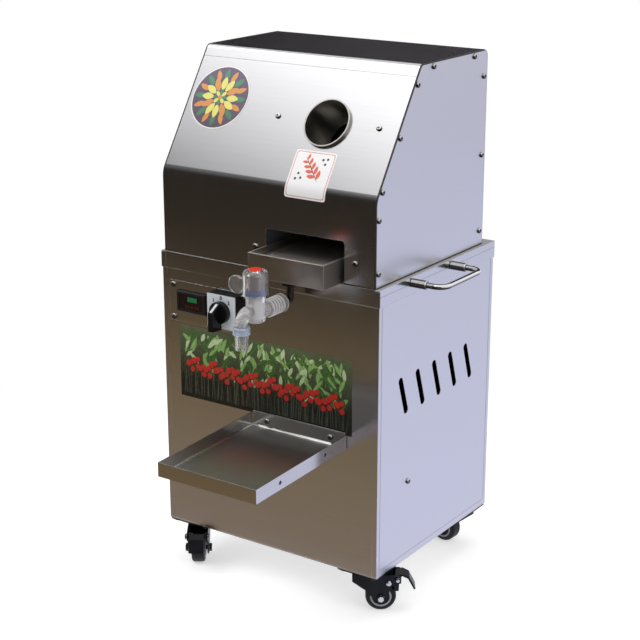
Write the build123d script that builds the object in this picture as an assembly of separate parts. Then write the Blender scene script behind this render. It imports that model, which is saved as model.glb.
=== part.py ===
"""Sugarcane juicer: a stainless cabinet on four casters with a hooded three roller mill on top.

Millimetres, +Z up. The origin is on the floor midway between the casters, the front faces -Y.
"""
import os
from math import acos, atan2, cos, degrees, hypot, pi, radians, sin, tan

from build123d import *

# Sheet, clearances and screws
sheet = 1.4
running_gap = 0.3
fit_gap = 0.05
seat_gap = 0.02
screw_radius = 2.5
screw_head_radius = 4.7
screw_head_height = 3.0
screw_length = 9.0
recess_width = 1.3
recess_depth = 1.4

# Cabinet
cabinet_width = 420.0
cabinet_depth = 357.0
cabinet_height = 477.5
base_thickness = 2.0
skirt_height = 28.0
post_leg = 25.0
post_thickness = 2.0
vent_count = 5
vent_pitch = 51.2
vent_width = 12.5
vent_height = 64.0
vent_lean = 21.0
vent_first_y = -105.0
vent_above_base = 288.0
side_screw_y = -86.8
side_screw_above_base = 137.0
rear_screw_inset = 12.0

# Casters
caster_height = 73.5
caster_inset_x = 38.0
caster_inset_y = 31.0
caster_plate_length = 76.0
caster_plate_width = 62.0
caster_plate_thickness = 2.5
caster_bolt_inset = 9.0
caster_bolt_radius = 3.0
race_radius = 17.0
race_height = 4.0
king_pin_radius = 5.0
king_pin_head_radius = 9.0
king_pin_head_height = 3.0
fork_plate_thickness = 3.0
fork_cheek = 3.0
fork_length = 47.0
cheek_foot_radius = 10.0
wheel_radius = 25.0
wheel_width = 23.0
wheel_round = 5.0
wheel_side_gap = 3.5
hub_recess_radius = 14.0
hub_recess_depth = 3.0
axle_radius = 4.0
axle_head_radius = 7.0
axle_head_height = 4.5
trail = 23.0
caster_swivels = {"front_left": -56.0, "front_right": 34.0, "rear_right": 175.0, "rear_left": 160.0}
braked = ("front_left", "front_right")
pedal_pin_radius = 3.0
pedal_pin_head_radius = 4.6
pedal_pin_reach = 50.0
pedal_pin_above_wheel = 7.5
pedal_thickness = 2.5
pedal_length = 29.0
pedal_drop = 18.0
pedal_boss_radius = 5.5
pedal_width = 25.0
shoe_gap = 0.5
shoe_length = 22.0

# Hood
hood_width = 406.0
hood_depth = 330.0
hood_front_proud = 1.1
hood_front_height = 135.0
hood_height = 322.5
hood_top_depth = 207.0
hood_bend = 12.0
hood_foot_bend = 35.0
hood_flange = 18.0
hood_seam = 203.0
hood_panel_gap = 0.2
hood_screw_inset = 7.6
hood_back_screw_inset = 11.5
hood_top_screws = (44.0, 171.0)
hood_back_screws = (25.0, 152.0, 280.0)
hood_front_screws = (23.0, 105.0)
hood_slant_screws = (18.5, 106.0, 194.0)

# Mill unit: centred on unit_x, but for the feed tube, which sits a little to its right
unit_x = 74.0
tube_off_centre = 1.8
tube_radius = 39.8
tube_wall = 2.2
tube_proud = 5.0
tube_inside = 75.0
tube_along = 112.0
tube_flange_radius = 50.0
tube_flange_thickness = 2.0
slot_width = 147.0
slot_height = 67.0
slot_corner = 6.0
frame_span = 186.0
frame_plate = 12.0
frame_foot_height = 66.0
frame_shoulder = 45.0
frame_head_height = 54.0
frame_nose = 22.0
frame_screw_height = 35.0
frame_screw_along = 115.0
roller_radius = 31.0
roller_side_gap = 3.0
shaft_radius = 12.5
shaft_overhang = 4.0
bush_radius = 17.0
gear_module = 3.0
gear_teeth = 22
gear_face = 18.0
gear_gap = 3.0
gear_backlash = 0.5
gear_pressure_angle = 20.0
rear_roller_angle = 42.0
cane_reach = 118.0
spacer_radius = 8.0
scraper_width = 10.0
scraper_height = 28.0
scraper_gap = 8.0

# Drive
gearbox_gap = 20.0
gearbox_width = 65.0
gearbox_half_height = 50.0
gearbox_front = 46.0
worm_offset = 50.0
motor_radius = 46.0
motor_length = 160.0
motor_hole_gap = 6.0
motor_cap = 12.0
stand_thickness = 6.0
stand_foot = 46.0
stand_gap = 2.0
battery_length = 181.0
battery_width = 77.0
battery_height = 167.0
battery_pitch = 86.0
battery_y = 30.0
socket_radius = 14.0
socket_flange_radius = 19.0
socket_flange = 3.0
socket_body = 22.0
socket_x = -120.0
socket_above_base = 110.0

# Waste chute at the back of the hood
chute_width = 150.0
chute_height = 74.0
chute_low = 110.0
chute_inside = 62.0
chute_outside = 42.0
chute_slope = 20.0

# Juice tray and tap
tray_width = 140.0
tray_offset = -3.0
tray_height = 38.5
tray_depth = 12.5
tray_wall = 1.2
tray_hem = 2.4
tray_hem_height = 5.0
tray_reach = 47.0
tray_length = 312.0
tray_travel = 200.0
tap_x = 64.0
tap_back = 22.0
stub_radius = 9.0
stub_bore = 7.0
stub_length = 4.5
drain_nut_radius = 13.5
drain_nut_lip = 1.5
elbow_disc = 2.0
elbow_radius = 6.0
elbow_bore = 4.0
elbow_reach = 23.0
shank_below_deck = 31.0
shank_radius = 10.5
shank_flange_radius = 15.0
shank_flange = 3.0
shank_grip_radius = 13.0
shank_grip_length = 34.0
tap_reach = 88.0
tap_body_radius = 15.2
tap_body_low = 14.5
tap_body_high = 29.0
tap_head_radius = 19.4
tap_head_height = 38.0
tap_head_wall = 3.4
tap_stem_radius = 9.0
tap_button_radius = 10.5
tap_button_height = 3.0
tap_seal_height = 4.5
lever_reach = 49.5
lever_blade_radius = 14.3
lever_drop = 9.0
lever_neck = 14.0
lever_thickness = 6.5
spout_reach = 36.0
spout_radius = 9.5
spout_rise = 7.0
spout_bend = 17.0
collar_radius = 13.2
collar_height = 11.4
collar_below_shank = 12.0
nozzle_radius = 9.8
nozzle_step = 1.6
nozzle_length = 24.0
nozzle_bore = 6.5

# Cup tray
cup_tray_x = 61.0
cup_tray_width = 184.0
cup_tray_length = 237.0
cup_tray_height = 23.0
cup_tray_low = 203.5
cup_tray_rise = 6.5
cup_tray_hole_radius = 3.2
cup_tray_holes = (60.0, 179.0)
bracket_width = 179.0
bracket_height = 26.0
bracket_ledge = 30.0
bracket_screw_span = 123.0
bracket_screw_drop = 12.5

# Side handles
handle_rod = 4.5
handle_ferrule = 7.0
handle_ferrule_length = 27.0
handle_span = 122.0
handle_y = -26.0
handle_below_deck = 9.0
handle_reach = 56.0
handle_bend = 18.0

# Controls
panel_from_edge = 94.0
panel_x = panel_from_edge - cabinet_width / 2
panel_width = 160.0
panel_height = 69.0
panel_below_deck = 81.5
panel_thickness = 1.2
controls_rise = 2.0
panel_screw_inset_x = 8.5
panel_screw_inset_z = 7.0
meter_from_middle = 33.0
meter_x = panel_x - meter_from_middle
meter_width = 60.0
meter_height = 35.0
meter_proud = 5.0
meter_frame = 5.0
meter_recess = 2.0
meter_body_depth = 30.0
switch_from_middle = 38.0
switch_x = panel_x + switch_from_middle
switch_size = 56.0
switch_base_proud = 14.0
switch_plate = 1.6
switch_body_radius = 21.0
switch_body_depth = 45.0
knob_radius = 18.3
knob_skirt = 9.0
knob_height = 28.5
knob_bar_width = 9.0
knob_tail = 28.0
knob_tail_slope = 2.0
knob_nose = 5.0
knob_lift = 5.0
knob_spindle_radius = 4.0
switch_turn = 45.0

# Places worked out from the sizes above
half_width = cabinet_width / 2
front_y = -cabinet_depth / 2
back_y = cabinet_depth / 2
base_z = caster_height
floor_z = base_z + base_thickness
deck_z = caster_height + cabinet_height
panel_top_z = deck_z - sheet
hood_half = hood_width / 2
hood_front_y = front_y - hood_front_proud
hood_back_y = hood_front_y + hood_depth
hood_slant_z = deck_z + hood_front_height
hood_top_z = deck_z + hood_height
hood_top_y = hood_back_y - hood_top_depth
slant_rise = hood_top_z - hood_slant_z
slant_run = hood_top_y - hood_front_y
slant_angle = atan2(slant_run, slant_rise)
slant_normal = Vector(0, -cos(slant_angle), sin(slant_angle))
slant_up = Vector(0, sin(slant_angle), cos(slant_angle))
gear_distance = gear_module * gear_teeth
left_plate_x = unit_x - frame_span / 2
right_plate_x = unit_x + frame_span / 2


def on_slant(x, along):
    """Point on the outer face of the slanted hood front, measured up from its lower bend."""
    return Vector(x, hood_front_y, hood_slant_z) + slant_up * along


tube_centre = on_slant(unit_x + tube_off_centre, tube_along)
nip = tube_centre - slant_normal * cane_reach
top_axis = Vector(0, nip.Y, nip.Z) + slant_up * (gear_distance / 2)
front_axis = top_axis - slant_up * gear_distance
rear_turn = radians(rear_roller_angle)
rear_axis = top_axis + Vector(0, sin(rear_turn), -cos(rear_turn)) * gear_distance


def block(x, y, z):
    """Box between the (low, high) pairs on each axis."""
    size = [high - low for low, high in (x, y, z)]
    middle = [(low + high) / 2 for low, high in (x, y, z)]
    return Pos(*middle) * Box(*size)


def bar(start, end, radius):
    """Round bar from one point to another."""
    start = Vector(*start)
    along = Vector(*end) - start
    lie = Plane(origin=start, z_dir=along)
    return lie * Cylinder(radius, along.length, align=(Align.CENTER, Align.CENTER, Align.MIN))


def upright(x, y, low, high, radius):
    """Round bar along Z."""
    return bar((x, y, low), (x, y, high), radius)


def level(x, z, start, end, radius):
    """Round bar along Y."""
    return bar((x, start, z), (x, end, z), radius)


def crosswise(y, z, start, end, radius):
    """Round bar along X."""
    return bar((start, y, z), (end, y, z), radius)


def shrunk(span, by):
    """A (low, high) pair drawn in by the same amount at both ends."""
    return (span[0] + by, span[1] - by)


def slab_x(points, x_low, x_high):
    """Flat piece with an outline of (y, z) points, between two X planes."""
    face = Plane.YZ.offset(x_low) * make_face(Polyline(*points, close=True))
    return extrude(face, amount=x_high - x_low)


def pan_screw(length):
    """Pan head screw along Z, its head seated at the origin and its shank below."""
    head = Cylinder(screw_head_radius, screw_head_height, align=(Align.CENTER, Align.CENTER, Align.MIN))
    head = fillet(head.edges().sort_by(Axis.Z)[-1], screw_head_height * 0.6)
    shank = bar((0, 0, 0), (0, 0, -length), screw_radius)
    slot = Box(screw_head_radius * 1.1, recess_width, recess_depth * 2)
    cross = slot + Rot(0, 0, 90) * slot
    return head + shank - Pos(0, 0, screw_head_height) * cross


long_screw = pan_screw(screw_length)
short_screw = pan_screw(2.5 * sheet)


def screw_at(seat, outward, screw=long_screw):
    """A screw with its head on the point seat, standing out along outward."""
    return Plane(origin=seat, z_dir=outward) * screw


def screw_holes(shape, seats, outward):
    """Cut the clearance holes of the screws at the given seats."""
    out = Vector(*outward)
    for seat in seats:
        inner = Vector(*seat) - out * (screw_length + 1)
        outer = Vector(*seat) + out
        shape = shape - bar(inner, outer, screw_radius + fit_gap)
    return shape


def group(solids):
    return Compound(children=list(solids))


nodes = {}

# Cabinet panels on four corner posts, with a base plate below and a skirted deck on top
bracket_z = base_z + cup_tray_low + cup_tray_rise + bracket_height
bracket_seats = [
    (cup_tray_x + side * bracket_screw_span / 2, front_y - sheet, bracket_z - bracket_screw_drop)
    for side in (-1, 1)
]
panel_z = deck_z - panel_below_deck
control_z = panel_z + controls_rise
panel_seats = [
    (
        panel_x + sx * (panel_width / 2 - panel_screw_inset_x),
        front_y - panel_thickness,
        panel_z + sz * (panel_height / 2 - panel_screw_inset_z),
    )
    for sx in (-1, 1)
    for sz in (-1, 1)
]
meter_hole = block(
    (meter_x - meter_width / 2 + meter_frame, meter_x + meter_width / 2 - meter_frame),
    (front_y - sheet, front_y + 2 * sheet),
    (control_z - meter_height / 2 + meter_frame, control_z + meter_height / 2 - meter_frame),
)
switch_hole = level(switch_x, control_z, front_y - sheet, front_y + 2 * sheet, switch_body_radius + fit_gap)
front_panel = block((-half_width, half_width), (front_y, front_y + sheet), (floor_z, panel_top_z))
front_panel = screw_holes(front_panel, bracket_seats + panel_seats, (0, -1, 0))
nodes["front_panel"] = front_panel - meter_hole - switch_hole


def vent(y, z):
    """Leaning round ended louvre slot, cut through a side panel along X."""
    lean = degrees(atan2(vent_lean, vent_height))
    slot = SlotOverall(hypot(vent_lean, vent_height), vent_width, rotation=90 + lean)
    return extrude(Plane.YZ * Pos(y, z) * slot, amount=half_width * 3, both=True)


vents = [vent(vent_first_y + i * vent_pitch, base_z + vent_above_base) for i in range(vent_count)]
side_screw_z = base_z + side_screw_above_base
for side, sign in (("left", -1), ("right", 1)):
    faces = sorted((sign * half_width, sign * (half_width - sheet)))
    panel = block(faces, (front_y + sheet, back_y - sheet), (floor_z, panel_top_z))
    for slot in vents:
        panel = panel - slot
    nodes[f"{side}_side_panel"] = screw_holes(
        panel, [(sign * half_width, side_screw_y, side_screw_z)], (sign, 0, 0)
    )

rear_x = half_width - sheet - rear_screw_inset
rear_seats = [
    (x, back_y, z)
    for x in (-rear_x, rear_x)
    for z in (
        floor_z + rear_screw_inset,
        (floor_z + panel_top_z) / 2,
        deck_z - skirt_height - rear_screw_inset,
    )
]
socket_z = base_z + socket_above_base
rear_panel = block((-half_width, half_width), (back_y - sheet, back_y), (floor_z, panel_top_z))
rear_panel = screw_holes(rear_panel, rear_seats, (0, 1, 0))
socket_hole = level(socket_x, socket_z, back_y - 2 * sheet, back_y + sheet, socket_radius + seat_gap)
nodes["rear_panel"] = rear_panel - socket_hole

posts = []
for sx in (-1, 1):
    for sy in (-1, 1):
        outer_x = sx * (half_width - sheet)
        outer_y = sy * (cabinet_depth / 2 - sheet)
        legs_x = sorted((outer_x, outer_x - sx * post_leg))
        legs_y = sorted((outer_y, outer_y - sy * post_leg))
        post = block(legs_x, sorted((outer_y, outer_y - sy * post_thickness)), (floor_z, panel_top_z))
        post = post + block(
            sorted((outer_x, outer_x - sx * post_thickness)), legs_y, (floor_z, panel_top_z)
        )
        posts.append(screw_holes(screw_holes(post, rear_seats, (0, 1, 0)), panel_seats, (0, -1, 0)))
nodes["corner_posts"] = group(posts)

caster_axes = {
    name: (
        (1 if name.endswith("right") else -1) * (half_width - caster_inset_x),
        (1 if name.startswith("rear") else -1) * (cabinet_depth / 2 - caster_inset_y),
    )
    for name in caster_swivels
}
bolt_offsets = [
    (sx * (caster_plate_length / 2 - caster_bolt_inset), sy * (caster_plate_width / 2 - caster_bolt_inset))
    for sx in (-1, 1)
    for sy in (-1, 1)
]
bolt_places = [(x + dx, y + dy) for x, y in caster_axes.values() for dx, dy in bolt_offsets]
base_plate = block((-half_width, half_width), (front_y, back_y), (base_z, floor_z))
for x, y in bolt_places:
    base_plate = base_plate - upright(x, y, base_z - 1, floor_z + 1, caster_bolt_radius + seat_gap)
nodes["base_plate"] = base_plate

gearbox_right = left_plate_x - frame_plate / 2 - gear_gap - gear_face - gearbox_gap
gearbox_left = gearbox_right - gearbox_width
motor_x = (gearbox_left + gearbox_right) / 2
motor_y = top_axis.Y + worm_offset
deck = block((-half_width, half_width), (front_y, back_y), (panel_top_z, deck_z))
skirt_low = deck_z - skirt_height
wide = (-half_width - sheet, half_width + sheet)
skirt_out = block(wide, (front_y - sheet, back_y + sheet), (skirt_low, deck_z))
skirt_in = block(shrunk(wide, sheet), (front_y, back_y), (skirt_low - 1, deck_z + 1))
deck = deck + (skirt_out - skirt_in)
motor_hole = motor_radius + motor_hole_gap
nodes["top_deck"] = deck - upright(motor_x, motor_y, deck_z - 2 * sheet, deck_z + sheet, motor_hole)


# Hood: a bent sheet for the front and slant meets one for the top and back, closed by two side panels
def hood_outline(inset, low):
    """Side profile of the hood drawn in by inset, from the height low upwards."""
    half = tan(slant_angle / 2)
    corner = (1 - sin(slant_angle)) / cos(slant_angle)
    points = [
        (hood_front_y + inset, low),
        (hood_front_y + inset, hood_slant_z - inset * half),
        (hood_top_y + inset * corner, hood_top_z - inset),
        (hood_back_y - inset, hood_top_z - inset),
        (hood_back_y - inset, low),
    ]
    radii = [max(bend - inset, sheet) for bend in (hood_foot_bend, hood_bend, hood_bend)]
    bends = FilletPolyline(*points, radius=radii)
    return make_face(Curve() + [bends, Line(points[-1], points[0])])


def hood_slab(inset, low, x_low, x_high):
    return extrude(Plane.YZ.offset(x_low) * hood_outline(inset, low), amount=x_high - x_low)


side_points = [(hood_back_y - y, hood_top_z - hood_screw_inset) for y in hood_top_screws]
side_points += [(hood_back_y - hood_back_screw_inset, deck_z + z) for z in hood_back_screws]
side_points += [(hood_front_y + hood_screw_inset, deck_z + z) for z in hood_front_screws]
for along in hood_slant_screws:
    point = on_slant(0, along) - slant_normal * hood_screw_inset
    side_points.append((point.Y, point.Z))
side_seats = {sign: [(sign * hood_half, y, z) for y, z in side_points] for sign in (-1, 1)}
frame_screw_z = deck_z + frame_screw_height
front_seats = [(x, hood_front_y, frame_screw_z) for x in (left_plate_x, right_plate_x)]
slant_seats = [on_slant(x, frame_screw_along) for x in (left_plate_x, right_plate_x)]

chute_z = deck_z + chute_low
wrap = hood_slab(0, deck_z, -hood_half, hood_half)
wrap = wrap - hood_slab(sheet, deck_z - sheet, -hood_half - 1, hood_half + 1)
for sign in (-1, 1):
    near = sorted((sign * (hood_half - sheet), sign * (hood_half - 2 * sheet)))
    flange = hood_slab(sheet, deck_z, *near)
    flange = flange - hood_slab(sheet + hood_flange, deck_z - sheet, near[0] - 1, near[1] + 1)
    wrap = wrap + flange
    wrap = screw_holes(wrap, side_seats[sign], (sign, 0, 0))
slot_cut = block(
    (unit_x - slot_width / 2, unit_x + slot_width / 2),
    (hood_front_y - sheet, hood_front_y + 2 * sheet),
    (deck_z - slot_height, deck_z + slot_height),
)
slot_cut = fillet(slot_cut.edges().filter_by(Axis.Y), slot_corner)
tube_cut = bar(
    tube_centre - slant_normal * 4 * sheet, tube_centre + slant_normal * 4 * sheet, tube_radius + seat_gap
)
chute_cut = block(
    (unit_x - chute_width / 2, unit_x + chute_width / 2),
    (hood_back_y - 2 * sheet, hood_back_y + sheet),
    (chute_z, chute_z + chute_height),
)
wrap = wrap - slot_cut - tube_cut - chute_cut
wrap = screw_holes(wrap, front_seats, (0, -1, 0))
wrap = screw_holes(wrap, slant_seats, slant_normal)


def below_seam(along):
    """Front half of the space under a plane square to the slant, at a distance up it."""
    front = block((-hood_width, hood_width), (hood_front_y - sheet, 0), (deck_z - sheet, hood_top_z))
    under = Plane(origin=on_slant(0, along), z_dir=-slant_up)
    wide = 2 * hood_width
    return front & under * Box(wide, wide, hood_height, align=(Align.CENTER, Align.CENTER, Align.MIN))


nodes["hood_front_sheet"] = wrap & below_seam(hood_seam)
nodes["hood_top_sheet"] = wrap - below_seam(hood_seam + hood_panel_gap)

for side, sign in (("left", -1), ("right", 1)):
    near = sorted((sign * hood_half, sign * (hood_half - sheet)))
    panel = hood_slab(sheet + hood_panel_gap, deck_z, *near)
    nodes[f"hood_{side}_panel"] = screw_holes(panel, side_seats[sign], (sign, 0, 0))

screws = [screw_at(seat, (sign, 0, 0), short_screw) for sign in (-1, 1) for seat in side_seats[sign]]
screws += [screw_at(seat, (0, -1, 0)) for seat in front_seats + bracket_seats + panel_seats]
screws += [screw_at(seat, slant_normal) for seat in slant_seats]
screws += [screw_at(seat, (0, 1, 0)) for seat in rear_seats]
screws += [screw_at((sign * half_width, side_screw_y, side_screw_z), (sign, 0, 0)) for sign in (-1, 1)]
nodes["panel_screws"] = group(screws)

# Feed tube welded to a ring that seats behind the slanted sheet
tube_mouth = tube_centre + slant_normal * tube_proud
tube_end = tube_centre - slant_normal * tube_inside
ring_back = tube_centre - slant_normal * (sheet + tube_flange_thickness)
feed_tube = bar(tube_end, tube_mouth, tube_radius)
feed_tube = feed_tube + bar(ring_back, tube_centre - slant_normal * sheet, tube_flange_radius)
nodes["feed_tube"] = feed_tube - bar(
    tube_end - slant_normal, tube_mouth + slant_normal, tube_radius - tube_wall
)

# Waste chute: an open trough through the back of the hood, sloping down and out
chute_half = chute_width / 2 - hood_panel_gap
slope = tan(radians(chute_slope))
chute_start = hood_back_y - chute_inside
chute_end = hood_back_y + chute_outside
back_foot = chute_z + hood_panel_gap
back_head = chute_z + chute_height - hood_panel_gap
chute_side = [
    (chute_start, back_foot + slope * chute_inside),
    (hood_back_y, back_foot),
    (chute_end, back_foot - slope * chute_outside),
    (chute_end, back_foot - slope * chute_outside + chute_height / 3),
    (hood_back_y, back_head),
    (chute_start, back_head),
]
chute_hollow = [(y, z + (sheet if i < 3 else chute_height)) for i, (y, z) in enumerate(chute_side)]
chute_hollow[0] = (chute_start - 1, chute_hollow[0][1] + slope)
chute_hollow[2] = (chute_end + 1, chute_hollow[2][1] - slope)
chute_hollow[3] = (chute_end + 1, chute_hollow[3][1])
chute_hollow[5] = (chute_start - 1, chute_hollow[5][1])
chute = slab_x(chute_side, unit_x - chute_half, unit_x + chute_half)
nodes["rear_chute"] = chute - slab_x(
    chute_hollow, unit_x - chute_half + sheet, unit_x + chute_half - sheet
)

# Two thick frame plates carry the mill and take the hood's front screws
foot_y = hood_front_y + sheet
nose_low = on_slant(0, frame_screw_along - frame_nose) - slant_normal * sheet
nose_high = on_slant(0, frame_screw_along + frame_nose) - slant_normal * sheet
frame_back_y = rear_axis.Y + frame_shoulder
frame_top_z = top_axis.Z + frame_head_height
frame_outline = [
    (foot_y, deck_z),
    (foot_y, deck_z + frame_foot_height),
    (front_axis.Y - frame_shoulder, front_axis.Z - frame_shoulder + bush_radius),
    (nose_low.Y, nose_low.Z),
    (nose_high.Y, nose_high.Z),
    (top_axis.Y - bush_radius, frame_top_z),
    (top_axis.Y + frame_shoulder, frame_top_z),
    (frame_back_y, rear_axis.Z + frame_shoulder),
    (frame_back_y, deck_z),
]
mill_axes = (top_axis, front_axis, rear_axis)
spacer_places = [
    (front_axis.Y - frame_shoulder + 2 * spacer_radius, deck_z + frame_foot_height),
    (frame_back_y - 2 * spacer_radius, deck_z + frame_foot_height),
    (top_axis.Y + frame_shoulder - 2 * spacer_radius, frame_top_z - 2 * spacer_radius),
]
for side, x in (("left", left_plate_x), ("right", right_plate_x)):
    low, high = x - frame_plate / 2, x + frame_plate / 2
    plate = slab_x(frame_outline, low, high)
    for axis in mill_axes:
        plate = plate - crosswise(axis.Y, axis.Z, low - 1, high + 1, bush_radius + seat_gap)
    plate = screw_holes(plate, front_seats, (0, -1, 0))
    plate = screw_holes(plate, slant_seats, slant_normal)
    nodes[f"{side}_frame_plate"] = plate

frame_inner = (left_plate_x + frame_plate / 2, right_plate_x - frame_plate / 2)
nodes["frame_spacers"] = group(crosswise(y, z, *frame_inner, spacer_radius) for y, z in spacer_places)
bushes = []
for x in (left_plate_x, right_plate_x):
    for axis in mill_axes:
        span = (x - frame_plate / 2, x + frame_plate / 2)
        bush = crosswise(axis.Y, axis.Z, *span, bush_radius)
        bushes.append(bush - crosswise(axis.Y, axis.Z, *span, shaft_radius + fit_gap))
nodes["roller_bushes"] = group(bushes)

scraper_y = (front_axis.Y + rear_axis.Y) / 2
scraper_top = top_axis.Z - roller_radius - scraper_gap
nodes["scraper_bar"] = block(
    frame_inner,
    (scraper_y - scraper_width / 2, scraper_y + scraper_width / 2),
    (scraper_top - scraper_height, scraper_top),
)

# Rollers on their shafts; the top shaft runs on into the gearbox
gear_right = left_plate_x - frame_plate / 2 - gear_gap
gear_left = gear_right - gear_face
shaft_right = right_plate_x + frame_plate / 2 + shaft_overhang
free_end = gear_left - shaft_overhang
shaft_left = {"top": gearbox_left + running_gap, "front": free_end, "rear": free_end}
for name, axis in zip(("top", "front", "rear"), mill_axes):
    drum = crosswise(axis.Y, axis.Z, *shrunk(frame_inner, roller_side_gap), roller_radius)
    shaft = crosswise(axis.Y, axis.Z, shaft_left[name], shaft_right, shaft_radius)
    nodes[f"{name}_roller"] = drum + shaft


# Three equal involute gears, in mesh at rest
def gear_outline(phase):
    """Outline of a gear, with a tooth centred on the angle phase, in degrees."""
    pitch_radius = gear_distance / 2
    base_radius = pitch_radius * cos(radians(gear_pressure_angle))
    tip = pitch_radius + gear_module
    root = pitch_radius - 1.25 * gear_module
    pressure = radians(gear_pressure_angle)
    half_tooth = pi / (2 * gear_teeth) - gear_backlash / (2 * pitch_radius) + tan(pressure) - pressure
    flank = []
    for i in range(5):
        radius = max(base_radius, root) + (tip - max(base_radius, root)) * i / 4
        roll = acos(base_radius / radius)
        flank.append((radius, half_tooth - (tan(roll) - roll)))
    flank.insert(0, (root, flank[0][1]))
    points = []
    for tooth in range(gear_teeth):
        middle = radians(phase) + 2 * pi * tooth / gear_teeth
        rising = [(radius, middle - angle) for radius, angle in flank]
        falling = [(radius, middle + angle) for radius, angle in reversed(flank)]
        points += [(radius * cos(a), radius * sin(a)) for radius, a in rising + falling]
    return points


def meshing_phase(axis):
    """Phase of a gear that meets the top gear, whose own tooth points along Y."""
    towards = degrees(atan2(axis.Z - top_axis.Z, axis.Y - top_axis.Y))
    return 2 * towards + 180 + 180 / gear_teeth


gear_phases = {"top": 0.0, "front": meshing_phase(front_axis), "rear": meshing_phase(rear_axis)}
for name, axis in zip(("top", "front", "rear"), mill_axes):
    outline = [(axis.Y + y, axis.Z + z) for y, z in gear_outline(gear_phases[name])]
    wheel = slab_x(outline, gear_left, gear_right)
    bore = crosswise(axis.Y, axis.Z, gear_left - 1, gear_right + 1, shaft_radius + seat_gap)
    nodes[f"{name}_gear"] = wheel - bore

# Worm gearbox on the top shaft, its motor hanging through the deck, on an angle stand
gearbox = block(
    (gearbox_left, gearbox_right),
    (top_axis.Y - gearbox_front, motor_y + gearbox_front),
    (top_axis.Z - gearbox_half_height, top_axis.Z + gearbox_half_height),
)
gearbox = fillet(gearbox.edges().filter_by(Axis.X), gearbox_front / 4)
gearbox_bore = (gearbox_left - 1, gearbox_right + 1, shaft_radius + fit_gap)
nodes["worm_gearbox"] = gearbox - crosswise(top_axis.Y, top_axis.Z, *gearbox_bore)
motor_top = top_axis.Z - gearbox_half_height
motor = upright(motor_x, motor_y, motor_top - motor_length, motor_top, motor_radius)
motor = fillet(motor.edges().sort_by(Axis.Z)[0], motor_cap)
nodes["drive_motor"] = motor
stand_y = (top_axis.Y - gearbox_front, motor_y - motor_radius - stand_gap)
stand_face = gearbox_left - stand_thickness
stand = block((stand_face, gearbox_left), stand_y, (deck_z, top_axis.Z + gearbox_half_height))
foot = block((stand_face - stand_foot, stand_face), stand_y, (deck_z, deck_z + stand_thickness))
nodes["gearbox_stand"] = stand + foot

# Batteries on the base and the charging socket in the rear panel
batteries = []
for side in (-1, 1):
    middle_y = battery_y + side * battery_pitch / 2
    batteries.append(
        block(
            (-battery_length / 2, battery_length / 2),
            (middle_y - battery_width / 2, middle_y + battery_width / 2),
            (floor_z, floor_z + battery_height),
        )
    )
nodes["batteries"] = group(batteries)
socket_face = back_y + socket_flange
socket = level(socket_x, socket_z, back_y, socket_face, socket_flange_radius)
socket = socket + level(socket_x, socket_z, back_y - socket_body, back_y, socket_radius)
socket_bore = (back_y - socket_body / 2, socket_face + 1, socket_radius - 3 * sheet)
nodes["charge_socket"] = socket - level(socket_x, socket_z, *socket_bore)

# Juice tray: a shallow tray on tall sides that slides out over the deck
tray_x = (unit_x + tray_offset - tray_width / 2, unit_x + tray_offset + tray_width / 2)
tray_front_y = hood_front_y - tray_reach
tray_y = (tray_front_y, tray_front_y + tray_length)
tray_low = deck_z + running_gap
tray_rim = tray_low + tray_height
tray_floor = tray_rim - tray_depth
hem_z = tray_rim - tray_hem_height
inside = (shrunk(tray_x, tray_wall), shrunk(tray_y, tray_wall))
juice_tray = block(tray_x, tray_y, (tray_low, tray_rim))
juice_tray = juice_tray - block(shrunk(tray_x, tray_hem), shrunk(tray_y, tray_hem), (hem_z, tray_rim + 1))
juice_tray = juice_tray - block(*inside, (tray_floor, hem_z))
juice_tray = juice_tray - block(*inside, (tray_low - 1, tray_floor - tray_wall))
stub_y = tray_front_y + tap_back
shank_z = deck_z - shank_below_deck
stub_low = tray_low - stub_length
disc_low = stub_low - elbow_disc
nut_low = disc_low - drain_nut_lip
juice_tray = juice_tray + upright(tap_x, stub_y, stub_low, tray_floor, stub_radius)
nodes["juice_tray"] = juice_tray - upright(tap_x, stub_y, stub_low - 1, tray_floor + 1, stub_bore)
drain_nut = upright(tap_x, stub_y, nut_low, tray_low, drain_nut_radius)
drain_nut = drain_nut - upright(tap_x, stub_y, disc_low, tray_low + 1, stub_radius + seat_gap)
nodes["drain_nut"] = drain_nut - upright(tap_x, stub_y, nut_low - 1, tray_low, elbow_radius + seat_gap)

# Elbow from the drain to the tap, its disc held under the stub by the nut's lip
shank_start = stub_y - elbow_reach
elbow = upright(tap_x, stub_y, shank_z, stub_low, elbow_radius)
elbow = elbow + upright(tap_x, stub_y, disc_low, stub_low, stub_radius)
elbow = elbow + Pos(tap_x, stub_y, shank_z) * Sphere(elbow_radius)
elbow = elbow + level(tap_x, shank_z, stub_y, shank_start, elbow_radius)
elbow = elbow - upright(tap_x, stub_y, shank_z, stub_low + 1, elbow_bore)
nodes["tap_elbow"] = elbow - level(tap_x, shank_z, stub_y, shank_start - 1, elbow_bore)

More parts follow.
